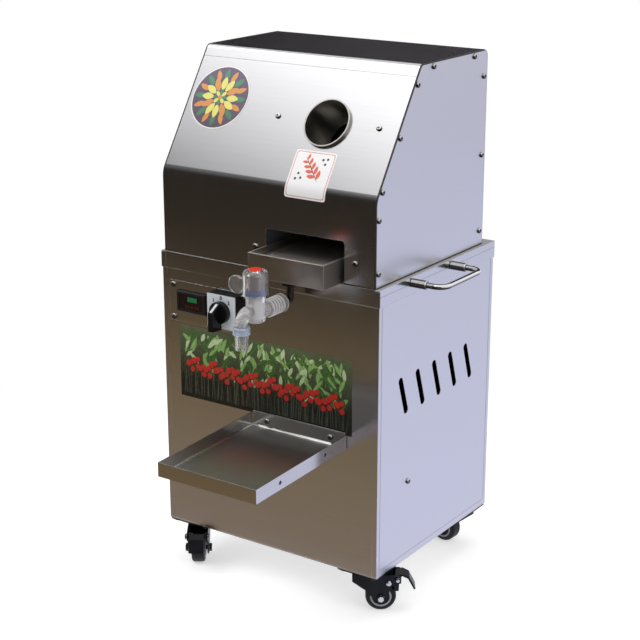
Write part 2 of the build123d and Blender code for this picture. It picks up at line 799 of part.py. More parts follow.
# Tap body: shank, upright barrel and a spout that bends down to its collar
tap_y = stub_y - tap_reach
barrel_low = shank_z - tap_body_low
barrel_high = shank_z + tap_body_high
spout_y = tap_y - spout_reach
spout_z = shank_z + spout_rise
collar_top = shank_z - collar_below_shank
grip_start = shank_start - 2 * shank_flange
shank = level(tap_x, shank_z, shank_start, tap_y, shank_radius)
shank = shank + level(tap_x, shank_z, shank_start, shank_start - shank_flange, shank_flange_radius)
shank = shank + level(tap_x, shank_z, grip_start, grip_start - shank_grip_length, shank_grip_radius)
barrel = upright(tap_x, tap_y, barrel_low, barrel_high, tap_body_radius)
barrel = fillet(barrel.edges().sort_by(Axis.Z)[0], tap_body_radius / 2)
spout_line = FilletPolyline(
    (tap_x, tap_y, spout_z),
    (tap_x, spout_y, spout_z),
    (tap_x, spout_y, collar_top),
    radius=spout_bend,
)
spout_start = Plane(origin=(tap_x, tap_y, spout_z), z_dir=(0, -1, 0))
tap_body = shank + barrel + sweep(spout_start * Circle(spout_radius), spout_line)
tap_body = tap_body - upright(tap_x, spout_y, collar_top - 1, collar_top + spout_bend / 2, nozzle_bore)
tap_body = tap_body - level(tap_x, shank_z, shank_start + 1, tap_y, elbow_bore)
stem_top = barrel_high + tap_head_height - tap_head_wall - running_gap
nodes["tap_body"] = tap_body + upright(tap_x, tap_y, barrel_high, stem_top, tap_stem_radius)

# Collar nut and stepped hose nozzle below the spout
collar_low = collar_top - collar_height
collar_shelf = collar_low + collar_height / 2
nozzle_low = collar_low - nozzle_length
nozzle_ring = collar_low - nozzle_length / 3
flange_radius = nozzle_radius + nozzle_step
collar = upright(tap_x, spout_y, collar_low, collar_top, collar_radius)
collar = fillet(collar.edges().group_by(Axis.Z)[-1], collar_height / 4)
collar = collar - upright(tap_x, spout_y, collar_low - 1, collar_shelf, flange_radius + seat_gap)
nodes["spout_collar"] = collar - upright(tap_x, spout_y, collar_low, collar_top + 1, nozzle_bore)
nozzle = upright(tap_x, spout_y, nozzle_low, collar_shelf, nozzle_radius)
nozzle = nozzle + upright(tap_x, spout_y, collar_low, collar_shelf, flange_radius)
nozzle = nozzle + upright(tap_x, spout_y, nozzle_ring, collar_low, nozzle_radius + nozzle_step / 2)
nodes["hose_nozzle"] = nozzle - upright(tap_x, spout_y, nozzle_low - 1, collar_top, nozzle_bore)

# Tap head: a clear hollow cap with a paddle lever, a coloured button and a seal ring inside
head_low = barrel_high + running_gap
head_top = head_low + tap_head_height
head_roof = head_top - 2 * tap_head_wall
sleeve_radius = tap_stem_radius + tap_head_wall / 2
cavity_radius = tap_head_radius - tap_head_wall
head = upright(tap_x, tap_y, head_low, head_top, tap_head_radius)
head = fillet(head.edges().group_by(Axis.Z)[-1], 2 * tap_head_wall)
cavity = upright(tap_x, tap_y, head_low - 1, head_roof, cavity_radius)
head = head - (cavity - upright(tap_x, tap_y, head_low - 2, head_roof + 1, sleeve_radius))
head = head - upright(tap_x, tap_y, head_low - 1, head_top - tap_head_wall, tap_stem_radius + fit_gap)
blade_x = tap_x - lever_reach + lever_blade_radius
blade_z = head_low + tap_head_height / 2 - lever_drop
lever_y = (tap_y - lever_thickness / 2, tap_y + lever_thickness / 2)
blade = level(blade_x, blade_z, *lever_y, lever_blade_radius)
blade = fillet(blade.edges().filter_by(GeomType.CIRCLE), lever_thickness / 3)
neck_x = (blade_x, tap_x - tap_head_radius + tap_head_wall / 2)
neck_z = (blade_z - lever_neck / 4, blade_z + lever_neck * 3 / 4)
head = head + blade + block(neck_x, lever_y, neck_z)
button_low = head_top - tap_head_wall / 2
button = upright(tap_x, tap_y, button_low, button_low + tap_button_height, tap_button_radius)
nodes["tap_head"] = head - upright(tap_x, tap_y, button_low, head_top + 1, tap_button_radius + seat_gap)
nodes["tap_button"] = fillet(button.edges().group_by(Axis.Z)[-1], tap_button_height / 3)
seal_low = head_low + running_gap
seal_high = seal_low + tap_seal_height
seal = upright(tap_x, tap_y, seal_low, seal_high, cavity_radius - seat_gap)
nodes["tap_seal"] = seal - upright(tap_x, tap_y, seal_low - 1, seal_high + 1, sleeve_radius + seat_gap)

# Cup tray on an angle bracket under the tap
rise = cup_tray_rise / cup_tray_length
cup_back_y = front_y - sheet
cup_front_y = cup_back_y - cup_tray_length
cup_z = base_z + cup_tray_low
cup_x = (cup_tray_x - cup_tray_width / 2, cup_tray_x + cup_tray_width / 2)


def cup_slab(x, y, low, high):
    """Piece that follows the slope of the cup tray, low and high above its underside."""
    front, back = [cup_z + rise * (end - cup_front_y) for end in y]
    return slab_x([(y[0], front + low), (y[1], back + low), (y[1], back + high), (y[0], front + high)], *x)


cup_inside_y = (cup_front_y + tray_wall, cup_back_y + 1)
cup_tray = cup_slab(cup_x, (cup_front_y, cup_back_y), 0, cup_tray_height)
cup_tray = cup_tray - cup_slab(shrunk(cup_x, tray_wall), cup_inside_y, tray_wall, cup_tray_height + 1)
for hole_y in cup_tray_holes:
    hole_z = cup_z + rise * hole_y + cup_tray_height / 2
    hole = (cup_front_y + hole_y, hole_z, cup_x[1] - 3 * tray_wall, cup_x[1] + tray_wall)
    cup_tray = cup_tray - crosswise(*hole, cup_tray_hole_radius)
nodes["cup_tray"] = cup_tray
bracket_x = (cup_tray_x - bracket_width / 2, cup_tray_x + bracket_width / 2)
bracket_low = cup_z + cup_tray_rise - 2 * sheet
bracket = block(bracket_x, (cup_back_y, front_y), (bracket_low, bracket_z))
bracket = bracket + cup_slab(bracket_x, (cup_back_y - bracket_ledge, cup_back_y), -sheet, 0)
nodes["tray_bracket"] = screw_holes(bracket, bracket_seats, (0, -1, 0))

# Side handles: a bent rod in two thick ferrules, one handle on each skirt
handles = []
handle_z = deck_z - handle_below_deck
handle_ends = (handle_y - handle_span / 2, handle_y + handle_span / 2)
for sign in (-1, 1):
    root_x = sign * (half_width + sheet)
    ferrule_x = root_x + sign * handle_ferrule_length
    grip_x = root_x + sign * handle_reach
    for y in handle_ends:
        ferrule = crosswise(y, handle_z, root_x, ferrule_x, handle_ferrule)
        handles.append(chamfer(ferrule.edges().filter_by(GeomType.CIRCLE), handle_ferrule / 8))
    path = FilletPolyline(
        (ferrule_x, handle_ends[0], handle_z),
        (grip_x, handle_ends[0], handle_z),
        (grip_x, handle_ends[1], handle_z),
        (ferrule_x, handle_ends[1], handle_z),
        radius=handle_bend,
    )
    start = Plane(origin=(ferrule_x, handle_ends[0], handle_z), z_dir=(sign, 0, 0))
    handles.append(sweep(start * Circle(handle_rod), path))
nodes["side_handles"] = group(handles)

# Control plate with a meter and a rotary switch
control = block(
    (panel_x - panel_width / 2, panel_x + panel_width / 2),
    (front_y - panel_thickness, front_y),
    (panel_z - panel_height / 2, panel_z + panel_height / 2),
)
nodes["control_plate"] = screw_holes(control, panel_seats, (0, -1, 0)) - meter_hole - switch_hole
control_y = front_y - panel_thickness
meter_x_span = (meter_x - meter_width / 2, meter_x + meter_width / 2)
meter_z_span = (control_z - meter_height / 2, control_z + meter_height / 2)
meter_face = control_y - meter_proud
window_back = meter_face + meter_recess
bezel = block(meter_x_span, (meter_face, control_y), meter_z_span)
bezel = chamfer(bezel.faces().sort_by(Axis.Y)[0].edges(), meter_recess * 0.75)
body_x = shrunk(meter_x_span, meter_frame + seat_gap)
body_z = shrunk(meter_z_span, meter_frame + seat_gap)
bezel = bezel + block(body_x, (control_y, front_y + meter_body_depth), body_z)
window_x = shrunk(meter_x_span, meter_frame)
window_z = shrunk(meter_z_span, meter_frame)
nodes["meter_case"] = bezel - block(window_x, (meter_face - 1, window_back), window_z)
nodes["meter_window"] = block(body_x, (meter_face + meter_recess / 2, window_back), body_z)

switch_x_span = (switch_x - switch_size / 2, switch_x + switch_size / 2)
switch_z_span = (control_z - switch_size / 2, control_z + switch_size / 2)
switch_face = control_y - switch_base_proud
plate_face = switch_face - switch_plate
spindle_end = front_y + switch_body_depth / 3
spindle_hole = level(switch_x, control_z, plate_face - 1, spindle_end + 1, knob_spindle_radius + fit_gap)
switch_base = block(switch_x_span, (switch_face, control_y), switch_z_span)
switch_base = switch_base + level(
    switch_x, control_z, control_y, front_y + switch_body_depth, switch_body_radius
)
nodes["switch_base"] = switch_base - spindle_hole
nodes["switch_plate"] = block(switch_x_span, (plate_face, switch_face), switch_z_span) - spindle_hole

# Knob: a round skirt with a lever grip whose nose slopes back and whose tail hangs down
knob_back = plate_face - running_gap
knob_front = knob_back - knob_height
tail_back = knob_back - knob_lift
grip_outline = [
    (knob_back, control_z),
    (knob_back, control_z + knob_radius * 0.8),
    (knob_back - knob_skirt, control_z + knob_radius * 0.9),
    (knob_front, control_z + knob_nose),
    (knob_front, control_z - knob_tail + knob_tail_slope),
    (tail_back, control_z - knob_tail),
    (tail_back, control_z),
]
grip = slab_x(grip_outline, switch_x - knob_bar_width / 2, switch_x + knob_bar_width / 2)
knob = level(switch_x, control_z, knob_back, knob_back - knob_skirt, knob_radius)
knob = fillet(knob.edges().group_by(Axis.Y)[0], knob_skirt / 6)
knob = knob + level(switch_x, control_z, knob_back, spindle_end, knob_spindle_radius)
nodes["switch_knob"] = knob + grip

# Casters: fixed plate with its king pin, swivelling fork, wheel, and a brake pedal in front
plate_low = base_z - caster_plate_thickness
race_low = plate_low - race_height
fork_top = race_low - running_gap
fork_low = fork_top - fork_plate_thickness
pin_head = fork_low - running_gap
plates = []
for x, y in caster_axes.values():
    plate = block(
        (x - caster_plate_length / 2, x + caster_plate_length / 2),
        (y - caster_plate_width / 2, y + caster_plate_width / 2),
        (plate_low, base_z),
    )
    plate = fillet(plate.edges().filter_by(Axis.Z), caster_bolt_inset / 2)
    plate = plate + upright(x, y, race_low, plate_low, race_radius)
    plate = plate + upright(x, y, pin_head, race_low, king_pin_radius)
    plate = plate + upright(x, y, pin_head - king_pin_head_height, pin_head, king_pin_head_radius)
    for dx, dy in bolt_offsets:
        plate = plate - upright(x + dx, y + dy, plate_low - 1, base_z + 1, caster_bolt_radius + seat_gap)
    plates.append(plate)
nodes["caster_plates"] = group(plates)
bolts = []
for x, y in bolt_places:
    hexagon = Plane.XY.offset(plate_low) * Pos(x, y) * RegularPolygon(2 * caster_bolt_radius, 6)
    bolt = upright(x, y, plate_low, floor_z + caster_bolt_radius, caster_bolt_radius)
    bolts.append(bolt + extrude(hexagon, amount=-caster_bolt_radius))
nodes["caster_bolts"] = group(bolts)

cheek_inner = wheel_width / 2 + wheel_side_gap
cheek_outer = cheek_inner + fork_cheek
pedal_pin_z = 2 * wheel_radius + pedal_pin_above_wheel
pin_reach = pedal_pin_reach


def slab_y(points, y_low, y_high):
    """Flat piece with an outline of (x, z) points, between two Y planes."""
    face = Plane.XZ.offset(-y_high) * make_face(Polyline(*points, close=True))
    return extrude(face, amount=y_high - y_low)


def cheek_outline(with_brake):
    """Outline of a fork cheek in the plane of the wheel, from the swivel axis along the trail."""
    foot = cheek_foot_radius
    points = [
        (-fork_length / 2, fork_top),
        (-fork_length / 2, fork_top - 4 * fork_plate_thickness),
        (trail - wheel_radius, wheel_radius + 1.4 * foot),
        (trail - foot, wheel_radius - foot / 3),
        (trail - foot / 2, wheel_radius - foot),
        (trail + foot / 2, wheel_radius - foot),
        (trail + foot, wheel_radius - foot / 3),
    ]
    if with_brake:
        points += [
            (pin_reach - 2 * pedal_boss_radius, pedal_pin_z - 2 * pedal_boss_radius),
            (pin_reach + pedal_boss_radius, pedal_pin_z - pedal_boss_radius),
            (pin_reach + pedal_boss_radius, pedal_pin_z + pedal_boss_radius),
        ]
    else:
        points.append((trail + 1.4 * foot, fork_low - fork_plate_thickness))
    return points + [(fork_length / 2, fork_top)]


def fork_web():
    """Outline of the web that closes the back of a fork between its cheeks."""
    back, thick = -fork_length / 2, fork_plate_thickness
    foot_x, foot_z = trail - wheel_radius, wheel_radius + 1.4 * cheek_foot_radius
    return [
        (back, fork_top),
        (back, fork_top - 4 * thick),
        (foot_x, foot_z),
        (foot_x, foot_z + thick),
        (back + thick, fork_top - 3 * thick),
        (back + thick, fork_top),
    ]


def caster_fork(with_brake):
    """Fork about the swivel axis, trailing towards +X, with its axle and any pedal pin."""
    fork = block((-fork_length / 2, fork_length / 2), (-cheek_outer, cheek_outer), (fork_low, fork_top))
    outline = cheek_outline(with_brake)
    fork = fork + slab_y(outline, -cheek_outer, -cheek_inner) + slab_y(outline, cheek_inner, cheek_outer)
    fork = fork + slab_y(fork_web(), -cheek_inner, cheek_inner)
    fork = fork - upright(0, 0, fork_low - 1, fork_top + 1, king_pin_radius + fit_gap)
    fork = fork - level(trail, wheel_radius, -cheek_outer, cheek_outer, axle_radius + seat_gap)
    axle = level(trail, wheel_radius, -cheek_outer, cheek_outer, axle_radius)
    for sign in (-1, 1):
        face = Plane.XZ.offset(sign * cheek_outer) * Pos(trail, wheel_radius)
        axle = axle + extrude(face * RegularPolygon(axle_head_radius, 6), amount=sign * axle_head_height)
    if not with_brake:
        return [fork, axle]
    fork = fork - level(pin_reach, pedal_pin_z, -cheek_outer, cheek_outer, pedal_pin_radius + seat_gap)
    pin = level(pin_reach, pedal_pin_z, -cheek_outer, cheek_outer, pedal_pin_radius)
    for sign in (-1, 1):
        far = sign * (cheek_outer + pedal_pin_radius)
        pin = pin + level(pin_reach, pedal_pin_z, sign * cheek_outer, far, pedal_pin_head_radius)
    return [fork, axle, pin]


def caster_wheel():
    """Wheel about its axle, with a rounded tread and recessed hub faces."""
    half = wheel_width / 2
    wheel = level(trail, wheel_radius, -half, half, wheel_radius)
    wheel = fillet(wheel.edges().filter_by(GeomType.CIRCLE), wheel_round)
    for sign in (-1, 1):
        near, far = sign * (half - hub_recess_depth), sign * (half + 1)
        groove = level(trail, wheel_radius, near, far, hub_recess_radius)
        wheel = wheel - (groove - level(trail, wheel_radius, near, far, 2 * axle_radius))
    return wheel - level(trail, wheel_radius, -half - 1, half + 1, axle_radius + fit_gap)


def brake_pedal():
    """Pedal on its pin: a boss, a bent foot tab behind it and a shoe that reaches for the tread."""
    boss_half = cheek_inner - running_gap
    half = pedal_width / 2
    top = pedal_pin_z + pedal_boss_radius
    bend_x = pin_reach + pedal_length * 0.3
    knee_x = pin_reach + pedal_length * 0.65
    tip_x = pin_reach + pedal_length
    tip_z = pedal_pin_z - pedal_drop
    tab = [
        (pin_reach, top),
        (bend_x, top + pedal_thickness),
        (knee_x, pedal_pin_z + pedal_thickness),
        (tip_x, tip_z),
        (tip_x - pedal_thickness, tip_z - pedal_thickness / 2),
        (knee_x - pedal_thickness, pedal_pin_z),
        (bend_x - pedal_thickness / 2, top - pedal_thickness / 2),
        (pin_reach, top - 2 * pedal_thickness),
    ]
    shoe = [
        (pin_reach - 1.2 * pedal_boss_radius, pedal_pin_z - pedal_boss_radius),
        (pin_reach + pedal_boss_radius / 2, pedal_pin_z - pedal_boss_radius / 2),
        (pin_reach + pedal_boss_radius / 3, pedal_pin_z - shoe_length),
        (pin_reach - pedal_boss_radius, pedal_pin_z - shoe_length),
    ]
    pedal = slab_y(tab, -half, half) + slab_y(shoe, -half, half)
    pedal = pedal - level(trail, wheel_radius, -half - 1, half + 1, wheel_radius + shoe_gap)
    pedal = pedal + level(pin_reach, pedal_pin_z, -boss_half, boss_half, pedal_boss_radius)
    return pedal - level(pin_reach, pedal_pin_z, -cheek_outer, cheek_outer, pedal_pin_radius + fit_gap)


plain_fork = caster_fork(False)
brake_fork = caster_fork(True)
wheel_solid = caster_wheel()
pedal_solid = brake_pedal()
for name, turn in caster_swivels.items():
    place = Pos(*caster_axes[name], 0) * Rot(0, 0, turn)
    fork = brake_fork if name in braked else plain_fork
    nodes[f"{name}_fork"] = group(place * solid for solid in fork)
    nodes[f"{name}_wheel"] = place * wheel_solid
    if name in braked:
        nodes[f"{name}_pedal"] = place * pedal_solid

if __name__ == "__main__":
    os.makedirs("parts", exist_ok=True)
    for name, shape in nodes.items():
        export_step(shape, f"parts/{name}.step")
    print(len(nodes), "nodes written")
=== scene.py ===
from math import cos, pi, radians, sin, tan
from random import Random

import bmesh
import bpy
from mathutils import Matrix, Vector


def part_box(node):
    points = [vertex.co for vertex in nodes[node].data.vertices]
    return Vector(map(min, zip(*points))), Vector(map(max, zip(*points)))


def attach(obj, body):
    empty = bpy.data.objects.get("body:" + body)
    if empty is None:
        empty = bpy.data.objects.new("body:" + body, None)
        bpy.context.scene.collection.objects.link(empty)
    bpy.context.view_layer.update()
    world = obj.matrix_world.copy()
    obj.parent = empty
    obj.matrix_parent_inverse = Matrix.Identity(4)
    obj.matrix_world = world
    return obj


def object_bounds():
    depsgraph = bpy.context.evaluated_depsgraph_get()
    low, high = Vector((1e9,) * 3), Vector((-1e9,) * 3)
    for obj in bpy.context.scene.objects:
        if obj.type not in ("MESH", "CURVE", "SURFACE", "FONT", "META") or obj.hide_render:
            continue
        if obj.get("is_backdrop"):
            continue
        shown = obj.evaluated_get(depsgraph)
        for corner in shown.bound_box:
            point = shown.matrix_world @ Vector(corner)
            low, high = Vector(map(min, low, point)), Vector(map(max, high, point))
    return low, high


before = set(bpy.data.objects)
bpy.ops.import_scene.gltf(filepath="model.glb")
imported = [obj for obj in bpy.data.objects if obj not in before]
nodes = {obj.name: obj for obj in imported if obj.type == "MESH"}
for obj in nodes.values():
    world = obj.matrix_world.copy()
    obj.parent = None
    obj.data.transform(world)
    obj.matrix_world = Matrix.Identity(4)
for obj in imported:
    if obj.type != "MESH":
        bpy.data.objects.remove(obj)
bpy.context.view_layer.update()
mm = 0.001


# Cabinet: folded sheets of 304 stainless steel, brushed along their length at the mill.
# The front and sides are spot welded to corner posts and the back is screwed on; the deck is a lid
# with a turned-down skirt.
def linear(code):
    """Linear colour of an sRGB hex code."""
    parts = [int(code[i:i + 2], 16) / 255 for i in (1, 3, 5)]
    return [p / 12.92 if p <= 0.04045 else ((p + 0.055) / 1.055) ** 2.4 for p in parts] + [1.0]


def add(material, kind, inputs=None, **settings):
    """Add a shader node; an input is a plain value or the socket that feeds it."""
    node = material.node_tree.nodes.new("ShaderNode" + kind)
    for name, value in settings.items():
        setattr(node, name, value)
    for name, value in (inputs or {}).items():
        if isinstance(value, bpy.types.NodeSocket):
            material.node_tree.links.new(value, node.inputs[name])
        else:
            node.inputs[name].default_value = value
    return node


def blank(name):
    """A material with an empty node tree."""
    material = bpy.data.materials.new(name)
    material.use_nodes = True
    material.node_tree.nodes.clear()
    return material


def shade(material, inputs):
    """Close a material with a principled shader, and hand the material back."""
    shader = add(material, "BsdfPrincipled", inputs)
    add(material, "OutputMaterial", {"Surface": shader.outputs["BSDF"]})
    return material


def brushed_stainless(name, light, dark, mark, roughness, edge=0.8, scoured=0.0):
    """Brushed stainless: satin reflections, streaked along the brush marks.

    mark is one brush mark's size in mm along x, y and z. Real marks are under 0.1 mm wide; here they are
    drawn coarser so that they show. edge is the radius in mm to which the sheet's edges are broken, and
    scoured is the roughness that wiping has added to faces that look up.
    """
    steel = blank(name)
    mapped = add(steel, "TexCoord")
    place = mapped.outputs["Object"]
    drawn = add(steel, "Mapping", {"Vector": place, "Scale": [1 / (size * mm) for size in mark]})
    marks = add(
        steel, "TexNoise", {"Vector": drawn.outputs[0], "Scale": 1.0, "Detail": 4.0, "Roughness": 0.7}
    )
    handled = add(steel, "TexNoise", {"Vector": place, "Scale": 1 / (140 * mm), "Detail": 2.0})
    tone = add(
        steel, "Mix", {0: marks.outputs["Fac"], 6: linear(dark), 7: linear(light)}, data_type="RGBA"
    )
    satin = add(
        steel,
        "MapRange",
        {
            "Value": handled.outputs["Fac"],
            "From Min": 0.15,
            "From Max": 0.85,
            "To Min": roughness - 0.02,
            "To Max": roughness + 0.02,
        },
    )
    gloss = satin.outputs["Result"]
    if scoured:
        facing = add(steel, "SeparateXYZ", {"Vector": mapped.outputs["Normal"]})
        facing_up = add(
            steel,
            "MapRange",
            {"Value": facing.outputs["Z"], "From Min": 0.8, "From Max": 0.95, "To Max": scoured},
        )
        gloss = add(steel, "Math", {0: gloss, 1: facing_up.outputs["Result"]}, operation="ADD").outputs[0]
    rounded = add(steel, "Bevel", {"Radius": edge * mm}, samples=4)
    relief = add(
        steel,
        "Bump",
        {
            "Height": marks.outputs["Fac"],
            "Strength": 0.12,
            "Distance": 0.05 * mm,
            "Normal": rounded.outputs["Normal"],
        },
    )
    return shade(
        steel,
        {
            "Base Color": tone.outputs[2],
            "Metallic": 1.0,
            "Roughness": gloss,
            "Normal": relief.outputs["Normal"],
        },
    )


def dress(material, *names):
    """Give CAD nodes a material."""
    for name in names:
        slots = nodes[name].data.materials
        slots.clear()
        slots.append(material)


front_steel = brushed_stainless("stainless_brushed_across", "#d0cfd1", "#c3c2c4", (180, 1.4, 1.4), 0.2)
side_steel = brushed_stainless("stainless_brushed_fore_and_aft", "#cfced0", "#c8c7c9", (1.4, 180, 1.4), 0.3)
deck_steel = brushed_stainless("stainless_deck", "#d0cfd1", "#c3c2c4", (180, 1.4, 1.4), 0.2, 1.5, 0.45)
dress(front_steel, "front_panel", "rear_panel", "base_plate", "control_plate")
dress(deck_steel, "top_deck")
dress(side_steel, "left_side_panel", "right_side_panel")
post_steel = brushed_stainless("stainless_post", "#b5b2ae", "#8f8b86", (2.0, 2.0, 120), 0.38)
dress(post_steel, "corner_posts")


def block(x, y, z, edge):
    """Block between (low, high) pairs in mm, with its edges rounded by edge."""
    shape = bmesh.new()
    bmesh.ops.create_cube(shape, size=1.0)
    for corner in shape.verts:
        share = [c + 0.5 for c in corner.co]
        corner.co = [(low + (high - low) * s) * mm for (low, high), s in zip((x, y, z), share)]
    bmesh.ops.bevel(shape, geom=shape.edges[:], offset=edge * mm, segments=2, profile=0.5, affect="EDGES")
    return shape


def joined(shapes):
    """One shape from several."""
    whole = bmesh.new()
    for shape in shapes:
        part = bpy.data.meshes.new("part")
        shape.to_mesh(part)
        shape.free()
        whole.from_mesh(part)
        bpy.data.meshes.remove(part)
    return whole


def piece(name, shape, body, slot, *materials, smooth=False):
    """Make a shape into an object that rides on a body."""
    mesh = bpy.data.meshes.new(name)
    bmesh.ops.recalc_face_normals(shape, faces=shape.faces[:])
    shape.to_mesh(mesh)
    shape.free()
    for material in materials:
        mesh.materials.append(material)
    if smooth:
        mesh.shade_smooth()
    made = bpy.data.objects.new(name, mesh)
    bpy.context.scene.collection.objects.link(made)
    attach(made, body)
    return made


front_low, front_high = [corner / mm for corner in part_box("front_panel")]
deck_low, deck_high = [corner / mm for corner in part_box("top_deck")]
lap_width = 9.0
lap_proud = 0.5
laps = []
for low, high, top in ((front_low, front_high, deck_low.z - 0.5), (deck_low, deck_high, deck_high.z - 1.5)):
    for x in ((low.x, low.x + lap_width), (high.x - lap_width, high.x)):
        laps.append(block(x, (low.y - lap_proud, low.y + 0.2), (low.z + 0.3, top), 0.2))
piece("front_corner_laps", joined(laps), "cabinet", "stainless", front_steel)

# Strips of the darker post steel along the side sheets' folds and hem paint the shade in those creases.
side_low, side_high = [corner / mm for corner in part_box("right_side_panel")]
fold_half = 0.35
deck_fold_z = deck_high.z - 11.0
deck_fold = (deck_fold_z - fold_half, deck_fold_z + fold_half)
hem_z = side_low.z + 9.0
front_fold_y, back_fold_y = side_low.y + 7.0, side_high.y - 7.0
folds = []
for sign in (-1, 1):
    skirt_x, panel_x = sign * deck_high.x, sign * front_high.x
    skirt, panel = [sorted((x - 0.2, x + 0.2)) for x in (skirt_x, panel_x)]
    folds.append(block(skirt, (deck_low.y + 1, deck_high.y - 1), deck_fold, 0.1))
    folds.append(block(panel, (front_fold_y, back_fold_y), (hem_z - fold_half, hem_z + fold_half), 0.1))
    for y in (front_fold_y, back_fold_y):
        folds.append(block(panel, (y - fold_half, y + fold_half), (hem_z, deck_low.z - 1), 0.1))
piece("side_fold_lines", joined(folds), "cabinet", "stainless", post_steel)


# Front print: a sheet of self-adhesive vinyl under the control plate, printed with leaves and berries.
# It is smoothed on by hand and trimmed round the cup tray's bracket, so it lies flat on the steel.
def printed_vinyl(name, top, bottom, z_high, z_low):
    """Gloss vinyl in a colour that fades down the sheet, with a fine speckle of ink; on the front print the
    fade is printed, on the slant's stickers it is painted shade.

    A real print's dots are about 0.1 mm; the speckle is drawn coarser so that it shows.
    """
    vinyl = blank(name)
    place = add(vinyl, "TexCoord").outputs["Object"]
    speckle = add(vinyl, "TexNoise", {"Vector": place, "Scale": 1 / (2.5 * mm), "Detail": 3.0})
    height = add(vinyl, "SeparateXYZ", {"Vector": place})
    fade = add(
        vinyl,
        "MapRange",
        {"Value": height.outputs["Z"], "From Min": z_low * mm, "From Max": z_high * mm},
    )
    mottled = add(
        vinyl,
        "MapRange",
        {"Value": speckle.outputs["Fac"], "From Min": 0.3, "From Max": 0.7, "To Min": -0.16, "To Max": 0.16},
    )
    share = add(
        vinyl,
        "Math",
        {0: fade.outputs["Result"], 1: mottled.outputs["Result"]},
        operation="ADD",
        use_clamp=True,
    )
    ink = add(vinyl, "Mix", {0: share.outputs[0], 6: linear(bottom), 7: linear(top)}, data_type="RGBA")
    film = add(vinyl, "Bump", {"Height": speckle.outputs["Fac"], "Strength": 0.1, "Distance": 0.03 * mm})
    return shade(
        vinyl,
        {"Base Color": ink.outputs[2], "Roughness": 0.32, "IOR": 1.5, "Normal": film.outputs["Normal"]},
    )


print_left, print_right = -178.0, 162.0
print_low, print_high = 305.5, 430.0
bracket_low, bracket_high = [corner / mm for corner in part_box("tray_bracket")]
print_y = front_low.y - 0.25
print_inks = [
    printed_vinyl("vinyl_ground_green_to_black", "#5b6745", "#0c0d0b", 450, 335),
    printed_vinyl("vinyl_leaf_fresh", "#7fa556", "#456631", print_high, print_low),
    printed_vinyl("vinyl_leaf_deep", "#3d6129", "#152410", print_high, print_low),
    printed_vinyl("vinyl_leaf_pale", "#b7c59a", "#77855c", print_high, print_low),
    printed_vinyl("vinyl_stem_dusk", "#6c705c", "#3a3b33", print_high, print_low),
    printed_vinyl("vinyl_berry_red", "#c62a1a", "#8f160e", print_high, print_low),
    printed_vinyl("vinyl_berry_shade", "#5e120c", "#3a0b08", print_high, print_low),
]


def flat_shape(shape, points, ink):
    """Add one flat face of a printed colour."""
    face = shape.faces.new([shape.verts.new(Vector(point) * mm) for point in points])
    face.material_index = ink
    return face


def leaf_points(length, width, steps=9):
    """Outline of a pointed leaf about the origin, lying along the second axis."""
    side = []
    for i in range(steps + 1):
        t = i / steps
        side.append((width / 2 * sin(pi * t) ** 0.8 if 0 < t < 1 else 0.0, length * (t - 0.5)))
    return side + [(-x, z) for x, z in reversed(side[1:-1])]


def ring_points(radius, count=72):
    """Points round a circle."""
    return [(radius * cos(2 * pi * i / count), radius * sin(2 * pi * i / count)) for i in range(count)]


def turned(points, angle):
    """Points turned about the origin, in degrees."""
    c, s = cos(radians(angle)), sin(radians(angle))
    return [(x * c - z * s, x * s + z * c) for x, z in points]


sheet_outline = [
    (print_left, print_high),
    (print_right, print_high),
    (print_right, print_low),
    (bracket_high.x + 0.5, print_low),
    (bracket_high.x + 0.5, bracket_high.z + 0.5),
    (bracket_low.x - 0.5, bracket_high.z + 0.5),
    (bracket_low.x - 0.5, print_low),
    (print_left, print_low),
]
front_print = bmesh.new()
ground = flat_shape(front_print, [(x, print_y, z) for x, z in sheet_outline], 0)
back = bmesh.ops.extrude_face_region(front_print, geom=[ground])["geom"]
back_corners = [part for part in back if isinstance(part, bmesh.types.BMVert)]
bmesh.ops.translate(front_print, verts=back_corners, vec=(0, 0.25 * mm, 0))
stem_count, leaf_count, bunch_count = 64, 230, 26
stem_edge, leaf_edge, bunch_edge = 6.0, 11.0, 22.0
stem_tip_low, stem_tip_high = 338.0, 372.0
leaf_top, leaf_band = print_high - 15.0, 62.0
bunch_level, bunch_fall, bunch_wave = 362.0, 10.0, 7.0
print_width = print_right - print_left
ink_step = 0.0005
scatter = Random(11)
layer = print_y - 0.03
for i in range(stem_count):
    x = print_left + stem_edge + (print_width - 2 * stem_edge) * (i + scatter.random() * 0.8) / stem_count
    foot, tip = bracket_high.z + 3, scatter.uniform(stem_tip_low, stem_tip_high)
    lean, half = scatter.uniform(-4, 4), scatter.uniform(0.5, 1.3)
    stem = [(x - half, foot), (x + half, foot), (x + lean + 0.2, tip), (x + lean - 0.2, tip)]
    layer -= ink_step
    flat_shape(front_print, [(u, layer, v) for u, v in stem], 4)
for i in range(leaf_count):
    length, width = scatter.uniform(16, 30), scatter.uniform(5, 8.5)
    x = scatter.uniform(print_left + leaf_edge, print_right - leaf_edge)
    z = leaf_top - leaf_band * scatter.random() ** 1.5
    angle = scatter.uniform(-62, 62)
    ink = scatter.choice((1, 1, 2, 2, 2, 3))
    leaf = turned(leaf_points(length, width), angle)
    rib = [(0.3, -length * 0.46), (0.1, length * 0.4), (-0.1, length * 0.4), (-0.3, -length * 0.46)]
    layer -= ink_step
    flat_shape(front_print, [(x + u, layer, z + v) for u, v in leaf], ink)
    layer -= ink_step
    flat_shape(front_print, [(x + u, layer, z + v) for u, v in turned(rib, angle)], 1 if ink == 2 else 3)
